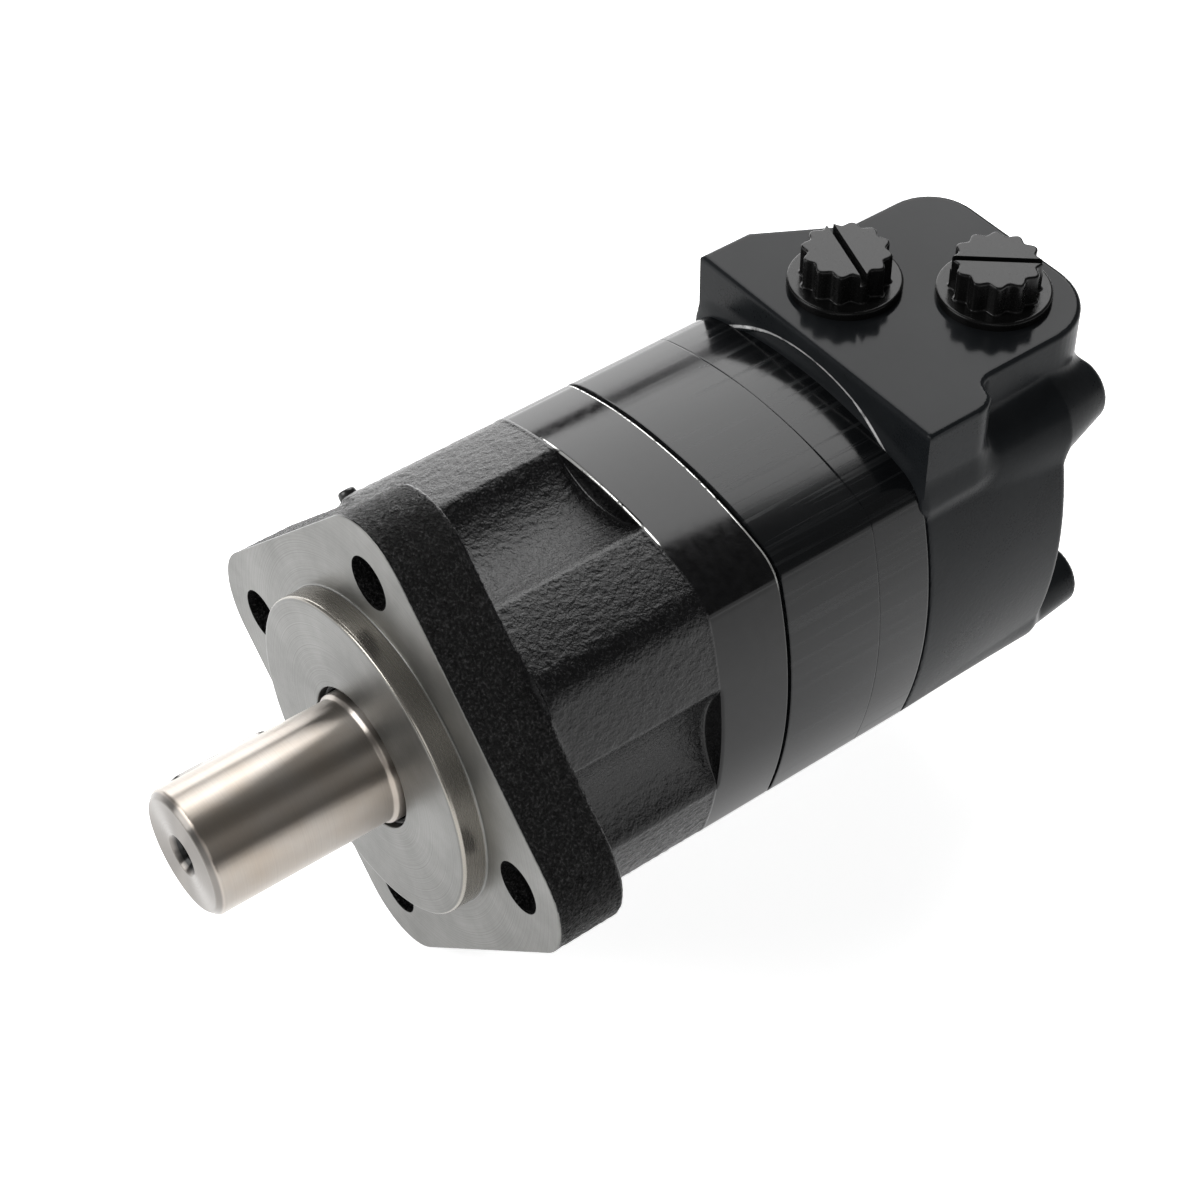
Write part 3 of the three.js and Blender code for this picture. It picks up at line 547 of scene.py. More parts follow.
def bearing_casting_material():
    """Bare turned iron on the mounting face and pilot, gloss black paint on the casting behind.

    The flange's rim and the neck are rough as cast, and the collar is machined smooth.
    """
    f = Finish("painted_casting_and_turned_face", 0.3, Specular_IOR_Level=0.26)
    x, y, z, radius = f.axis_places()
    everywhere = f.scaled(1, 1, 1)
    ragged = f.noise(everywhere, 0.9, 5, 0.7)
    edge = f.math("ADD", y, f.ranged(ragged, 0.3, 0.7, -0.1, 0.12))
    paint = f.ranged(edge, 0.15, 0.25, 0, 1)
    bare = f.math("SUBTRACT", 1.0, paint)
    grain = f.noise(everywhere, 1.4, 4, 0.55)
    coarse = f.noise(everywhere, 0.4, 3)
    behind_flange_edge = f.ranged(y, 0.4, 1.2, 0, 1)
    before_collar = f.ranged(y, COLLAR_FRONT - 0.6, COLLAR_FRONT, 1, 0)
    as_cast = f.math("MULTIPLY", behind_flange_edge, before_collar)

    # bare metal: stained, with turning rings, and brighter on the pilot's side
    rings = f.turning(y, radius, pitch=3.2, detail=4.0, roughness=0.7)
    stain = f.noise(everywhere, 0.05, 5, 0.65)
    dark_metal, light_metal = (0.12, 0.12, 0.114, 1), (0.19, 0.19, 0.182, 1)
    ring_metal, pilot_metal = (0.13, 0.13, 0.124, 1), (0.34, 0.32, 0.285, 1)
    metal_shade = f.blend(f.ranged(stain, 0.35, 0.65, 0, 1), dark_metal, light_metal)
    metal_shade = f.blend(f.ranged(rings, 0.35, 0.65, 0, 0.35), metal_shade, ring_metal)
    at_pilot_r = f.ranged(radius, PILOT_R - 0.5, PILOT_R - 0.2, 0, 1)
    pilot_side = f.math("MULTIPLY", at_pilot_r, f.ranged(y, -0.6, -0.2, 1, 0))
    metal_shade = f.blend(pilot_side, metal_shade, pilot_metal)

    # paint, with a painted highlight of bright metal along the edge at the joint behind it and along the top
    # pocket's edge
    dark_paint, light_paint = (0.0015, 0.0015, 0.0017, 1), (0.006, 0.006, 0.0064, 1)
    speck_tone, edge_glint_tone = (0.03, 0.03, 0.031, 1), (0.62, 0.62, 0.6, 1)
    paint_shade = f.blend(f.ranged(coarse, 0.3, 0.7, 0, 1), dark_paint, light_paint)
    near_joint = f.math("ABSOLUTE", f.math("SUBTRACT", y, RING_FRONT - 0.65))
    near_crescent = f.math("ABSOLUTE", f.math("SUBTRACT", y, COLLAR_FRONT + 0.25))
    near_crescent = f.math("ADD", near_crescent, f.ranged(f.math("ABSOLUTE", x), 22, 27, 0, 1))
    bulge = f.math("ADD", z, f.math("MULTIPLY", f.math("MULTIPLY", x, x), 0.5 / SIDE_ARC_R))
    near_crescent = f.math("ADD", near_crescent, f.ranged(bulge, BODY_HALF - 0.9, BODY_HALF - 0.5, 1, 0))
    near_edge = f.math("MINIMUM", near_joint, f.math("ADD", near_crescent, 0.08))
    # painted highlight: a bright metal glint along these edges, on the top only
    painted_edge_glint = f.math("MULTIPLY", f.ranged(near_edge, 0.22, 0.36, 1, 0), f.ranged(z, 34, 41, 0, 1))
    painted_edge_glint = f.math("MULTIPLY", painted_edge_glint, f.ranged(f.noise(everywhere, 0.5, 4, 0.6), 0.36, 0.46, 0, 1))
    specks = f.math("MULTIPLY", f.ranged(grain, 0.54, 0.7, 0, 0.7), as_cast)
    paint_shade = f.blend(specks, paint_shade, speck_tone)
    paint_shade = f.blend(painted_edge_glint, paint_shade, edge_glint_tone)
    f.set(f.shader, Base_Color=f.blend(paint, metal_shade, paint_shade))
    f.set(f.shader, Metallic=f.math("MAXIMUM", f.ranged(paint, 0, 1, 0.85, 0), f.math("MULTIPLY", painted_edge_glint, 0.6)))
    cast_gloss = f.ranged(grain, 0.35, 0.65, 0.14, 0.32)
    smooth_gloss = f.ranged(coarse, 0.3, 0.7, 0.08, 0.13)
    paint_gloss = f.math(
        "ADD",
        f.math("MULTIPLY", cast_gloss, as_cast),
        f.math("MULTIPLY", smooth_gloss, f.math("SUBTRACT", 1.0, as_cast)),
    )
    bare_gloss = f.ranged(rings, 0.3, 0.7, 0.3, 0.46)
    bare_gloss = f.math("SUBTRACT", bare_gloss, f.math("MULTIPLY", pilot_side, 0.14))
    f.set(f.shader, Roughness=f.math(
        "ADD", f.math("MULTIPLY", paint_gloss, paint), f.math("MULTIPLY", bare_gloss, bare)
    ))
    cast_relief = f.bump(f.math("MULTIPLY", grain, as_cast), 0.26)
    f.set(f.shader, Normal=f.bump(f.math("MULTIPLY", rings, bare), 0.006, under=cast_relief))
    return f.material


def flange_rim_material():
    """The flange's rim as cast, coarse and dull under its paint, with grey specks on its lumps that are
    partly painted highlight.
    """
    f = Finish("painted_sand_cast_rim", 0.5, Specular_IOR_Level=0.11)
    coarse = f.noise(f.scaled(1, 1, 1), 1.5, 4, 0.6)
    # grey specks on the grain: partly the paint's own colour, partly painted highlight on the lumps
    f.set(f.shader, Base_Color=f.blend(f.ranged(coarse, 0.5, 0.68, 0, 1), grey(0.0006), grey(0.065)))
    f.set(f.shader, Roughness=f.ranged(coarse, 0.35, 0.65, 0.5, 0.16))
    f.set(f.shader, Normal=f.bump(coarse, 4))
    return f.material


def section_material():
    """Smooth gloss black on the geroler ring and valve plate, with faint drag marks along the axis."""
    f = painted("painted_machined_section", 0.005, 0.13, peel=0.004, peel_scale=0.2, spread=0.03, level=0.24)
    drag = f.noise(f.scaled(0.7, 0.015, 0.7), 1, 4)
    marks = f.ranged(drag, 0.52, 0.66, 0, 1)
    share = f.math("MULTIPLY", marks, 0.6)
    f.set(f.shader, Base_Color=f.blend(share, f.now("Base Color"), grey(0.02, -0.05)))
    f.set(f.shader, Roughness=f.math("ADD", f.now("Roughness"), f.math("MULTIPLY", marks, 0.12)))
    return f.material


def rear_casting_material():
    """Charcoal satin over the rear casting.

    It has a painted highlight, bright metal along the turned edge in front of the port block.
    """
    f = painted("painted_rear_casting", 0.012, 0.3, peel=0.03, peel_scale=0.7, spread=0.06, level=0.07)
    _, y, z, radius = f.axis_places()
    off_edge = f.math("ABSOLUTE", f.math("SUBTRACT", radius, TURNED_ARC_R + 0.1))
    at_front = f.ranged(y, HOUSING_FRONT, HOUSING_FRONT + 0.5, 1, 0)
    patches = f.ranged(f.noise(f.scaled(1, 1, 1), 0.3, 4, 0.6), 0.36, 0.5, 0.25, 1)
    # painted highlight along the turned arc, on the upper part only
    painted_arc_glint = f.math("MULTIPLY", f.ranged(off_edge, 0.25, 0.45, 1, 0), at_front)
    painted_arc_glint = f.math("MULTIPLY", painted_arc_glint, f.ranged(z, 30, 36, 0, 1))
    painted_arc_glint = f.math("MULTIPLY", painted_arc_glint, patches)
    f.set(f.shader, Base_Color=f.blend(painted_arc_glint, f.now("Base Color"), grey(0.6)))
    f.set(f.shader, Metallic=f.math("MULTIPLY", painted_arc_glint, 0.4))
    return f.material


def port_face_material():
    """The milled port face, flatter and glossier than the casting round it."""
    f = painted("painted_port_face", 0.009, 0.12, peel=0.004, peel_scale=0.3, spread=0.03, level=0.09)
    return f.material


def turned_steel(name, tone, roughness, warm):
    """Bright steel with fine turning marks round the shaft axis, with painted shade on the shaft's end face
    and in its centre hole.
    """
    f = Finish(name, roughness, 1.0, Anisotropic=0.95, Anisotropic_Rotation=0.25)
    tangent = f.node("ShaderNodeTangent", direction_type="RADIAL", axis="Y")
    f.set(f.shader, Tangent=tangent.outputs["Tangent"])
    _, y, _, radius = f.axis_places()
    marks = f.turning(y, radius, pitch=2.4, detail=5.0, roughness=0.75)
    cloud = f.noise(f.scaled(0.06, 0.06, 0.06), 1, 4)
    light = f.blend(f.ranged(cloud, 0.3, 0.7, 0, 1), grey(tone, warm), grey(tone * 0.86, warm * 2.2))
    light = f.blend(f.ranged(marks, 0.4, 0.7, 0, 0.3), light, grey(tone * 0.75, warm))
    # painted shade: the end face darker than the rest of the shaft
    shaded_end_face = f.ranged(y, SHAFT_TIP + 0.9, SHAFT_TIP + 1.3, 1, 0)
    # painted shade: the centre hole nearly black inside
    below_face = f.ranged(y, SHAFT_TIP + 0.3, SHAFT_TIP + 1.2, 0, 1)
    painted_hole_shade = f.math("MULTIPLY", below_face, f.ranged(radius, 5.2, 5.6, 1, 0))
    light = f.blend(shaded_end_face, light, grey(tone * 0.5, warm))
    f.set(f.shader, Base_Color=f.blend(painted_hole_shade, light, grey(0.03)))
    f.set(f.shader, Roughness=f.ranged(marks, 0.3, 0.7, roughness - 0.03, roughness + 0.03))
    f.set(f.shader, Normal=f.bump(marks, 0.0012))
    return f.material


def plain_metal(name, tone, roughness, warm=0.0):
    """Metal with slightly cloudy tone and gloss."""
    f = Finish(name, roughness, 1.0)
    cloud = f.noise(f.scaled(0.3, 0.3, 0.3), 1, 5)
    share = f.ranged(cloud, 0.3, 0.7, 0, 1)
    f.set(f.shader, Base_Color=f.blend(share, grey(tone * 0.85, warm), grey(tone, warm)))
    f.set(f.shader, Roughness=f.ranged(cloud, 0.3, 0.7, roughness - 0.05, roughness + 0.08))
    f.set(f.shader, Normal=f.bump(f.noise(f.scaled(2, 2, 2), 1, 3), 0.004))
    return f.material


def moulded(name, tone, roughness):
    """Black plastic or rubber with a very fine skin."""
    f = Finish(name, roughness, Specular_IOR_Level=0.18)
    fine = f.noise(f.scaled(1.5, 1.5, 1.5), 1, 3)
    cloud = f.noise(f.scaled(0.15, 0.15, 0.15), 1, 4)
    f.set(f.shader, Base_Color=f.blend(f.ranged(cloud, 0.3, 0.7, 0, 1), grey(tone * 0.8), grey(tone * 1.2)))
    f.set(f.shader, Roughness=f.ranged(fine, 0.3, 0.7, roughness - 0.06, roughness + 0.06))
    f.set(f.shader, Normal=f.bump(fine, 0.006))
    return f.material


finishes = {
    "cast_black": rear_casting_material(),
    "ground_black": section_material(),
    "polished_steel": turned_steel("polished_steel", 0.4, 0.33, 0.07),
    "hardened_steel": plain_metal("hardened_steel", 0.6, 0.2),
    "plated_steel": plain_metal("plated_steel", 0.3, 0.34, 0.02),
    "seal_rubber": moulded("seal_rubber", 0.008, 0.42),
    "plug_plastic": moulded("plug_plastic", 0.005, 0.22),
}
# Every CAD node gets its slot's material. Those that a piece below replaces are hidden.
for row in frame["record"]["subparts"]:
    node_mesh = frame["nodes"][row["node"]].data
    node_mesh.materials.clear()
    node_mesh.materials.append(finishes[row["material_slot"]])


def bolt_holes(low, high):
    return [prism(circle(x * BOLT_AT, z * BOLT_AT, BOLT_HOLE_R), low, high, "y") for x, z in CORNERS]


def seal_groove(y, floor_y):
    """The corners of a face's groove for a section seal, from its outer wall to its inner one."""
    return sharp(
        (SEAL_GROOVE_OUT, y), (SEAL_GROOVE_OUT, floor_y), (SEAL_GROOVE_IN, floor_y), (SEAL_GROOVE_IN, y)
    )


# ---- bearing housing ----
SEAL_SEAT_R = 18.3
# The stepped bore's (radius, y), from the geroler ring forwards, as in the CAD.
BEARING_BORE = [
    (35.65, RING_FRONT), (35.65, 77.85), (30, 77.85), (30, 74), (35.15, 72), (35.15, 40), (28, 40), (28, 30),
    (31.15, 30), (31.15, 10.9), (23, 10.9), (23, 0.9), (17.6, 0.9), (17.6, -1.2), (SEAL_SEAT_R, -1.2),
]


def bearing_housing():
    flange, neck, body = (f(FULL_TURN) for f in (flange_radius, neck_radius, body_radius))
    casting = loft_y("bearing_casting", [
        (SEAL_SEAT_R, PILOT_FACE, 0.4, 2, 0),
        (PILOT_R, PILOT_FACE, 0.9, 3, 0),
        (PILOT_R, 0, 0.5, 3, 0),
        (flange, 0, 0.4, 3, 26),
        (flange, FLANGE_REAR, 1.7, 5, 8),
        (neck, FLANGE_REAR, 3, 6, 62),
        (neck, COLLAR_FRONT, 0.9, 4, 3),
        (body, COLLAR_FRONT, 0.8, 4, 4),
        (body, RING_FRONT - GROOVE_IN_COLLAR, 0.4, 3, 0),
        *sharp((body - GROOVE_DEPTH, RING_FRONT - GROOVE_IN_COLLAR), (body - GROOVE_DEPTH, RING_FRONT)),
        *seal_groove(RING_FRONT, RING_FRONT - SEAL_GROOVE_DEEP),
        *sharp(*BEARING_BORE),
    ], FULL_TURN)
    mounting = [
        prism(circle(x * BOLT_CIRCLE_R, z * BOLT_CIRCLE_R, MOUNT_HOLE_R, 64), -1, FLANGE_REAR + 2, "y")
        for x, z in ((1, 0), (0, 1), (-1, 0), (0, -1))
    ]
    carve(casting, *mounting, *bolt_holes(63, RING_FRONT + 1))

    def cast_skin(points):
        """The rim and the neck are rough. The turned face, the collar and the bore aren't."""
        x, y, z = points.T
        outside = np.hypot(x, z) > 39.6
        rim = np.clip((y - 0.5) / 1.2, 0, 1)
        before_collar = np.clip((COLLAR_FRONT - 0.4 - y) / 0.8, 0, 1)
        return np.where(outside, rim * before_collar, 0)

    roughen(casting, depth=0.32, scale=1.5, mask=cast_skin)
    show(casting, "housing", "cast_black", bearing_casting_material(), "bearing_housing")
    casting.data.materials.append(flange_rim_material())
    for face in casting.data.polygons:
        if 0.3 < face.center.y / MM < FLANGE_REAR - 1.2:
            face.material_index = 1


bearing_housing()


# ---- geroler ring and valve plate ----
RING_BORE_R, ROLLER_CIRCLE_R, ROLLER_POCKET_R = 30.65, 31.0, 5.75
PLATE_BORE_R, WINDOW_CIRCLE_R, WINDOW_R = 13.5, 26.4, 2.6


def geroler_ring():
    outer = body_radius(PART_TURN)
    pitch = 2 * math.pi / ROLLERS
    turned = (PART_TURN - math.pi / 2 + pitch / 2) % pitch - pitch / 2
    bore = np.maximum(RING_BORE_R, ray_to_circle(turned, ROLLER_CIRCLE_R, 0, ROLLER_POCKET_R))
    groove_rear = RING_FRONT + GROOVE_IN_RING
    ring = loft_y("geroler_ring_body", [
        *sharp((outer - GROOVE_DEPTH, RING_FRONT), (outer - GROOVE_DEPTH, groove_rear)),
        (outer, groove_rear, 0.3, 2, 0),
        (outer, PLATE_FRONT, 0.14, 2, 0),
        *sharp((bore, PLATE_FRONT), (bore, RING_FRONT)),
    ], PART_TURN)
    carve(ring, *bolt_holes(RING_FRONT - 1, PLATE_FRONT + 1))
    show(ring, "housing", "ground_black", finishes["ground_black"], "geroler_ring")


def valve_plate():
    outer = body_radius(PART_TURN)
    groove_front = HOUSING_FRONT - GROOVE_IN_PLATE
    plate = loft_y("valve_plate_body", [
        (outer, PLATE_FRONT, 0.14, 2, 0),
        (outer, groove_front, 0.3, 2, 0),
        *sharp((outer - GROOVE_DEPTH, groove_front), (outer - GROOVE_DEPTH, HOUSING_FRONT)),
        *sharp((PLATE_BORE_R, HOUSING_FRONT), (PLATE_BORE_R, PLATE_FRONT)),
        *reversed(seal_groove(PLATE_FRONT, PLATE_FRONT + SEAL_GROOVE_DEEP)),
    ], PART_TURN)
    windows = []
    for k in range(ROLLERS):
        a = math.pi / 2 + (k + 0.5) * 2 * math.pi / ROLLERS
        window = circle(WINDOW_CIRCLE_R * math.cos(a), WINDOW_CIRCLE_R * math.sin(a), WINDOW_R, 24)
        windows.append(prism(window, 110, 128, "y"))
    carve(plate, *windows, *bolt_holes(PLATE_FRONT - 1, HOUSING_FRONT + 1))
    show(plate, "housing", "ground_black", finishes["ground_black"], "valve_plate")


geroler_ring()
valve_plate()


# ---- valve housing with the port block ----
BLOCK_FRONT = HOUSING_FRONT - 0.9
BLOCK_BOTTOM = 34
BLOCK_OUTLINE = [
    (-42.2, BLOCK_FRONT),
    (42.2, BLOCK_FRONT),
    *arc(34.2, 141.5, 8, 0, 45, 6),
    *arc(40, 153, 6, 225, 180, 6),
    *arc(16, HOUSING_REAR - 18, 18, 0, 90, 16),
    *arc(-16.2, HOUSING_REAR - 13, 13, 90, 180, 12),
    (-29.2, 163.5),
    (-42.2, 141.3),
]
DRAFT = 0.018
BOSS_FRONT, BOSS_R = 150, 33
LOBE_X, LOBE_Z, LOBE_FRONT = 31.4, 32.1, 128.5
LOBE_STATIONS = [131, SIDE_WALL_REAR, 187.8, 189, 189.6]
LOBE_RADII = {1: [8.4, 12.6, 8.4, 7.8, 6.7], -1: [8.4, 9.8, 8.4, 7.8, 6.7]}  # upper and lower pair
PORT_DEEP = 16
VALVE_BORE = [(31.5, 146.5), (27.1, 153), (11, 172)]  # each step's radius and rear end
HUB_IN, HUB_OUT, HUB_FRONT = 10.9, 16.7, 148
PASSAGES = [(-12.3, 141.5, 4.8, 24), (8, 168, 3.4, 3)]  # x, y, radius and lower end
PASSAGE_TOP = PORT_FACE - 15
BODY_REACH = 47.5
CONTOUR_STEP = 0.6


def housing_field(x, y, z):
    """Distance to the rear casting's surface, less than 0 inside."""
    drawn = 1 - DRAFT * np.clip((y - HOUSING_FRONT) / (SIDE_WALL_REAR - HOUSING_FRONT), 0, 1)
    section = body_field(x / drawn, z / drawn) * drawn
    radius = far(x, z)
    body = both(both(section, HOUSING_FRONT - y, 0.4), y - SIDE_WALL_REAR, 2)
    block = both(polygon_field(x, y, BLOCK_OUTLINE), between(z, BLOCK_BOTTOM, PORT_FACE), 1.1)
    faced = np.maximum(np.minimum(radius - TURNED_ARC_R, section - 0.5), y - HOUSING_FRONT)
    shape = either(np.maximum(block, -faced), body, BLOCK_FILLET)
    boss = both(radius - BOSS_R, between(y, BOSS_FRONT, REAR_BOSS), 2)
    shape = either(shape, boss, 3)
    for side in (1, -1):
        for up, radii in LOBE_RADII.items():
            lobe = far(x - side * LOBE_X, z - up * LOBE_Z) - np.interp(y, LOBE_STATIONS, radii)
            lobe = both(lobe, between(y, LOBE_FRONT, LOBE_STATIONS[-1]), 1.5)
            shape = either(shape, lobe, 2.5)
    for at in CORNERS:
        from_bolt = far(x - at[0] * BOLT_AT, z - at[1] * BOLT_AT)
        shape = np.maximum(shape, -np.maximum(from_bolt - SPOT_FACE_R, SPOT_FACE - y))
        shape = np.maximum(shape, BOLT_HOLE_R - from_bolt)
    for px, py, _ in PORTS.values():
        from_port = far(x - px, y - py)
        shape = np.maximum(shape, -np.maximum(from_port - PORT_R, PORT_FACE - PORT_DEEP - z))
    hollow = 1e3
    for r, rear_end in VALVE_BORE:
        hollow = np.minimum(hollow, np.maximum(radius - r, y - rear_end))
    hub = np.maximum(between(radius, HUB_IN, HUB_OUT), HUB_FRONT - y)
    shape = np.maximum(shape, -np.maximum(hollow, -hub))
    passages = np.minimum(*(
        np.maximum(far(x - px, y - py) - r, between(z, lower, PASSAGE_TOP)) for px, py, r, lower in PASSAGES
    ))
    groove = np.maximum(
        between(radius, SEAL_GROOVE_IN, SEAL_GROOVE_OUT), y - HOUSING_FRONT - SEAL_GROOVE_DEEP
    )
    return np.maximum(np.maximum(shape, -passages), -groove)


def valve_housing():
    low = (-BODY_REACH, 125.8, -BODY_REACH)
    high = (BODY_REACH, HOUSING_REAR, PORT_FACE)
    casting = new_piece("rear_casting", *contour(housing_field, low, high, CONTOUR_STEP), 40)
    show(casting, "housing", "cast_black", finishes["cast_black"], "valve_housing")
    casting.data.materials.append(port_face_material())
    for face in casting.data.polygons:
        if face.normal.z > 0.9 and face.center.z > (PORT_FACE - 0.35) * MM:
            face.material_index = 1


valve_housing()


# ---- shaft and key ----
SPLINE_TEETH = 12
KEY_HALF_WIDTH = 3.97
CENTRE_HOLE_R, CENTRE_MOUTH_R = 3.6, 5.3
SHAFT_CHAMFER = 1.5


def spline(minor, major, half_root, half_tip):
    """The outline of a splined bore. The two half widths are in degrees."""
    points = []
    for k in range(SPLINE_TEETH):
        for r, turn in ((minor, -half_root), (major, -half_tip), (major, half_tip), (minor, half_root)):
            a = math.radians(90 + k * 360 / SPLINE_TEETH + turn)
            points.append((r * math.cos(a), r * math.sin(a)))
    return points


def key_outline(growth):
    """The round-ended key's outline, larger all round by growth."""
    r = KEY_HALF_WIDTH + growth
    front = arc(0, KEY_FRONT + KEY_HALF_WIDTH, r, 180, 360, 14)
    return front + arc(0, KEY_REAR - KEY_HALF_WIDTH, r, 0, 180, 14)


shaft = turn_y("shaft_body", [
    *sharp((0, SHAFT_TIP + 24), (CENTRE_HOLE_R, SHAFT_TIP + 22)),
    (CENTRE_HOLE_R, SHAFT_TIP + 2, 0.2, 2, 0),
    (CENTRE_MOUTH_R, SHAFT_TIP, 0.25, 2, 0),
    (SHAFT_R - SHAFT_CHAMFER, SHAFT_TIP, 0.25, 2, 0),
    (SHAFT_R, SHAFT_TIP + SHAFT_CHAMFER, 0.25, 2, 0),
    (SHAFT_R, PILOT_FACE - 1.5, 0.2, 2, 0),
    (JOURNAL_R, PILOT_FACE - 0.7, 0.2, 2, 0),
    # the front bearing's seat, the shoulder, the rear bearing's seat and the splined bore
    *sharp((JOURNAL_R, 11.7), (17.5, 11.7), (17.5, 28.3)),
    (24, 28.3, 0.5, 2, 0),
    (24, 41.7, 0.5, 2, 0),
    *sharp((22, 41.7)),
    (22, SHAFT_REAR, 0.5, 2, 0),
    (14.5, SHAFT_REAR, 0.5, 2, 0),
    *sharp((14.5, 50), (9, 50), (9, 34), (13.2, 34), (13.2, 32), (0, 32)),
], 180)
carve(
    shaft,
    prism(key_outline(0.05), SHAFT_R - 4, SHAFT_R + 5, "-x"),
    prism(spline(minor=10.4, major=12.2, half_root=9.9, half_tip=6.6), 33.5, 50.5, "y"),
)
show(shaft, "shaft", "polished_steel", finishes["polished_steel"], "output_shaft")

key = new_piece("shaft_key_body", *prism(key_outline(0), SHAFT_R - 3.9, KEY_OUT, "-x"))
bevel = key.modifiers.new("edges", "BEVEL")
bevel.width = 0.35 * MM
bevel.segments = 2
show(key, "shaft", "polished_steel", plain_metal("key_steel", 0.3, 0.3, 0.03), "shaft_key")

# ---- dust seal ----
seal = turn_y("dust_seal_body", [
    (JOURNAL_R + 0.3, -4.6, 0.1, 1, 0),
    (JOURNAL_R + 0.7, -5, 0.1, 1, 0),
    (17.75, -4.4, 0.15, 2, 0),
    (18.1, -4.7, 0.15, 2, 0),
    (18.1, -1.6, 0, 1, 0),
    (17.3, -1.6, 0, 1, 0),
    (17.3, -3.4, 0.1, 1, 0),
])
show(seal, "housing", "seal_rubber", finishes["seal_rubber"], "dust_seal")


# ---- port plugs ----
PLUG_SPIGOT_R, PLUG_COLLAR_R, PLUG_GRIP_R = 10.7, 14.2, 10.4
PLUG_FLUTES, PLUG_FLUTE_DEEP = 12, 0.7
PLUG_FOOT = PORT_FACE - 3
PLUG_SEAT = PORT_FACE - 0.15
PLUG_COLLAR_TOP = PORT_FACE + 2.2
PLUG_TOP = PORT_FACE + 10.5
SLOT_HALF_LENGTH, SLOT_HALF_WIDTH, SLOT_DEEP = 12, 0.9, 3


def stand_up(obj, x, y, turn):
    """Turns a body made round the Y axis to stand along Z at x, y."""
    place = Matrix.Translation((x * MM, y * MM, 0)) @ Matrix.Rotation(math.radians(turn), 4, "Z")
    obj.data.transform(place @ Matrix.Rotation(math.pi / 2, 4, "X"))
    clean(obj)


grip = PLUG_GRIP_R + PLUG_FLUTE_DEEP * np.cos(PLUG_FLUTES * PART_TURN)
for name, (x, y, slot_turn) in PORTS.items():
    plug = loft_y("port_plug_" + name + "_body", [
        (0, PLUG_FOOT, 0, 1, 0),
        (PLUG_SPIGOT_R, PLUG_FOOT, 0.5, 2, 0),
        (PLUG_SPIGOT_R, PLUG_SEAT, 0, 1, 0),
        (PLUG_COLLAR_R, PLUG_SEAT, 0.2, 2, 0),
        (PLUG_COLLAR_R, PLUG_COLLAR_TOP, 0.7, 4, 0),
        (grip, PLUG_COLLAR_TOP, 0.6, 4, 6),
        (grip, PLUG_TOP, 0.7, 5, 0),
        (0, PLUG_TOP, 0, 1, 0),
    ], PART_TURN)
    stand_up(plug, x, y, slot_turn)
    turned = math.radians(slot_turn)
    slot_shape = [
        (x + u * math.cos(turned) - v * math.sin(turned), y + u * math.sin(turned) + v * math.cos(turned))
        for u, v in (
            (-SLOT_HALF_LENGTH, -SLOT_HALF_WIDTH),
            (SLOT_HALF_LENGTH, -SLOT_HALF_WIDTH),
            (SLOT_HALF_LENGTH, SLOT_HALF_WIDTH),
            (-SLOT_HALF_LENGTH, SLOT_HALF_WIDTH),
        )
    ]
    carve(plug, prism(slot_shape, PLUG_TOP - SLOT_DEEP, PLUG_TOP + 1, "z"))
    show(plug, name + "_plug", "plug_plastic", finishes["plug_plastic"], "port_plug_" + name)

# ---- cap bolts ----
BOLT_SHANK_R, BOLT_HEAD_R = 3.97, 5.95
BOLT_SEAT, HEAD_REAR = 179.1, 187.0
SOCKET_R, SOCKET_DEEP = 3.6, 4
for index, (x, z) in enumerate(CORNERS, 1):
    bolt = turn_y("cap_bolt_%d_body" % index, [
        (0, BOLT_TIP, 0, 1, 0),
        (BOLT_SHANK_R, BOLT_TIP, 0.7, 3, 0),
        (BOLT_SHANK_R, BOLT_SEAT, 0, 1, 0),
        (BOLT_HEAD_R, BOLT_SEAT, 0.2, 2, 0),
        (BOLT_HEAD_R, HEAD_REAR, 0.7, 4, 0),
        (0, HEAD_REAR, 0, 1, 0),
    ], 64)
    carve(bolt, prism(circle(0, 0, SOCKET_R, 6), HEAD_REAR - SOCKET_DEEP, HEAD_REAR + 1, "y"))
    bolt.data.transform(Matrix.Translation((x * BOLT_AT * MM, 0, z * BOLT_AT * MM)))
    show(bolt, "housing", "plated_steel", finishes["plated_steel"], "cap_bolt_%d" % index)

# ---- case drain plug ----
DRAIN_ANGLE, DRAIN_Y = 141.0, 21.5
DRAIN_STEM_R, DRAIN_HEAD_R = 1.5, 2.35
# Places along the plug, from the shaft axis outwards.
DRAIN_FOOT, DRAIN_HEAD, DRAIN_TOP = 47.0, 51.5, 57.2
drain = turn_y("case_drain_plug_body", [
    (0, DRAIN_FOOT, 0, 1, 0),
    (DRAIN_STEM_R, DRAIN_FOOT, 0.3, 2, 0),
    (DRAIN_STEM_R, DRAIN_HEAD, 0, 1, 0),
    (DRAIN_HEAD_R, DRAIN_HEAD, 0.2, 2, 0),
    (DRAIN_HEAD_R, DRAIN_TOP, 1.5, 8, 0),
    (0, DRAIN_TOP, 0.5, 2, 0),
], 40)
drain.data.transform(
    Matrix.Translation((0, DRAIN_Y * MM, 0))
    @ Matrix.Rotation(math.radians(90 - DRAIN_ANGLE), 4, "Y")
    @ Matrix.Rotation(math.pi / 2, 4, "X")
)
clean(drain)
show(drain, "housing", "plated_steel", plain_metal("blackened_steel", 0.06, 0.3), "case_drain_plug")

# ---- floor ----
bpy.ops.mesh.primitive_plane_add(size=60, location=(0, 0.1, FLOOR * MM))
floor = bpy.context.object
floor.name = "floor"
floor_finish = Finish("floor", 0.6)
floor_finish.set(
    floor_finish.shader, Base_Color=(0.93, 0.93, 0.93, 1), Emission_Color=(1, 1, 1, 1), Emission_Strength=0.78
)
floor.data.materials.append(floor_finish.material)


# ---- light ----
CENTRE = Vector((0, 0.07, 0))


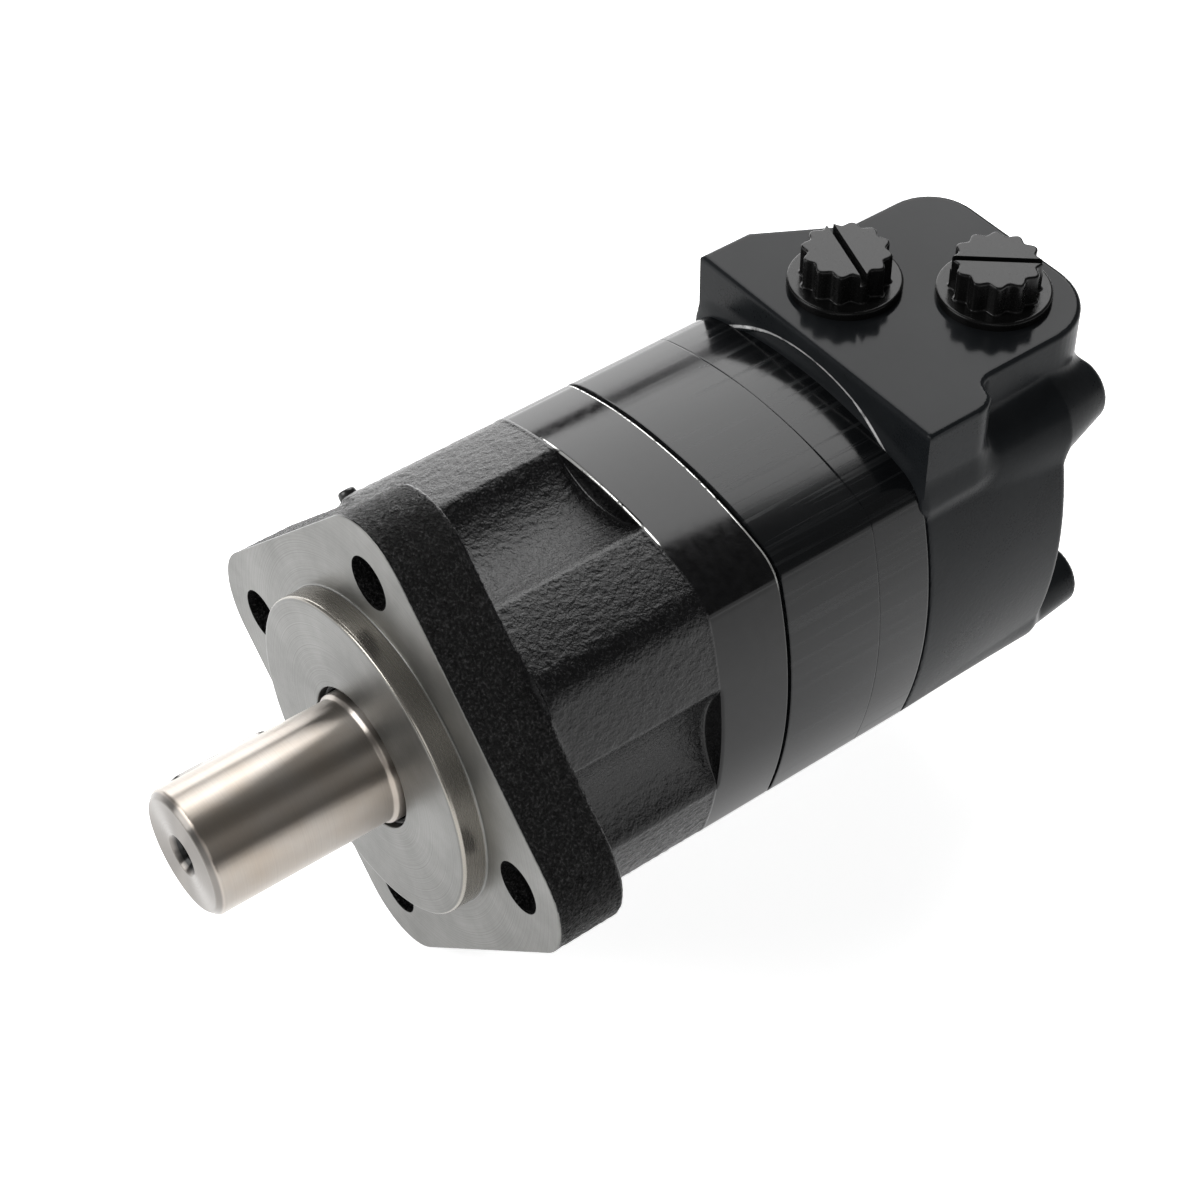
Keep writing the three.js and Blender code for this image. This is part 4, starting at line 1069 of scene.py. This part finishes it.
def softbox(name, place, size, power):
    """A white area light aimed at the middle of the motor."""
    data = bpy.data.lights.new(name, "AREA")
    data.shape = "RECTANGLE"
    data.size, data.size_y = size
    data.energy = power
    light = bpy.data.objects.new(name, data)
    light.location = place
    light.rotation_euler = (CENTRE - Vector(place)).to_track_quat("-Z", "Y").to_euler()
    bpy.context.scene.collection.objects.link(light)


softbox("key", (-0.85, 0.75, 1.05), (1.1, 1.0), 18)
softbox("left_back", (-1.3, 0.7, 0.25), (1.2, 0.6), 10)
softbox("right_low", (1.5, 0.75, 0.05), (0.9, 0.35), 1.1)
softbox("front", (-0.75, -1.5, 1.15), (1.2, 1.0), 27)
softbox("right", (1.3, -1.0, 1.1), (1.0, 1.0), 4)

world = bpy.data.worlds.new("studio")
world.use_nodes = True
background = world.node_tree.nodes["Background"].inputs
background["Color"].default_value = (1, 1, 1, 1)
background["Strength"].default_value = 0.16
bpy.context.scene.world = world
bpy.context.scene.view_settings.view_transform = "Standard"

# ---- camera ----
# The photo's viewing angle, distance and lens, as fitted.
AZIMUTH, ELEVATION, ROLL = (math.radians(a) for a in (53.25, 45.78, -0.50))
CAMERA_AT = (368.75, -210.86, 475.02)
LENS, SENSOR = 81.83, 36
SHIFT_X, SHIFT_Y = -0.00444, 0.01488
away = Vector((
    math.sin(AZIMUTH) * math.cos(ELEVATION), -math.cos(AZIMUTH) * math.cos(ELEVATION), math.sin(ELEVATION)
))
level = Vector((math.cos(AZIMUTH), math.sin(AZIMUTH), 0))
upward = away.cross(level)
right = math.cos(ROLL) * level + math.sin(ROLL) * upward
up = math.cos(ROLL) * upward - math.sin(ROLL) * level
camera_data = bpy.data.cameras.new("camera")
camera_data.lens = LENS
camera_data.sensor_width = SENSOR
camera_data.shift_x = SHIFT_X
camera_data.shift_y = SHIFT_Y
camera = bpy.data.objects.new("camera", camera_data)
bpy.context.scene.collection.objects.link(camera)
turn = Matrix((right, up, away)).transposed().to_4x4()
camera.matrix_world = Matrix.Translation(Vector(CAMERA_AT) * MM) @ turn
bpy.context.scene.camera = camera
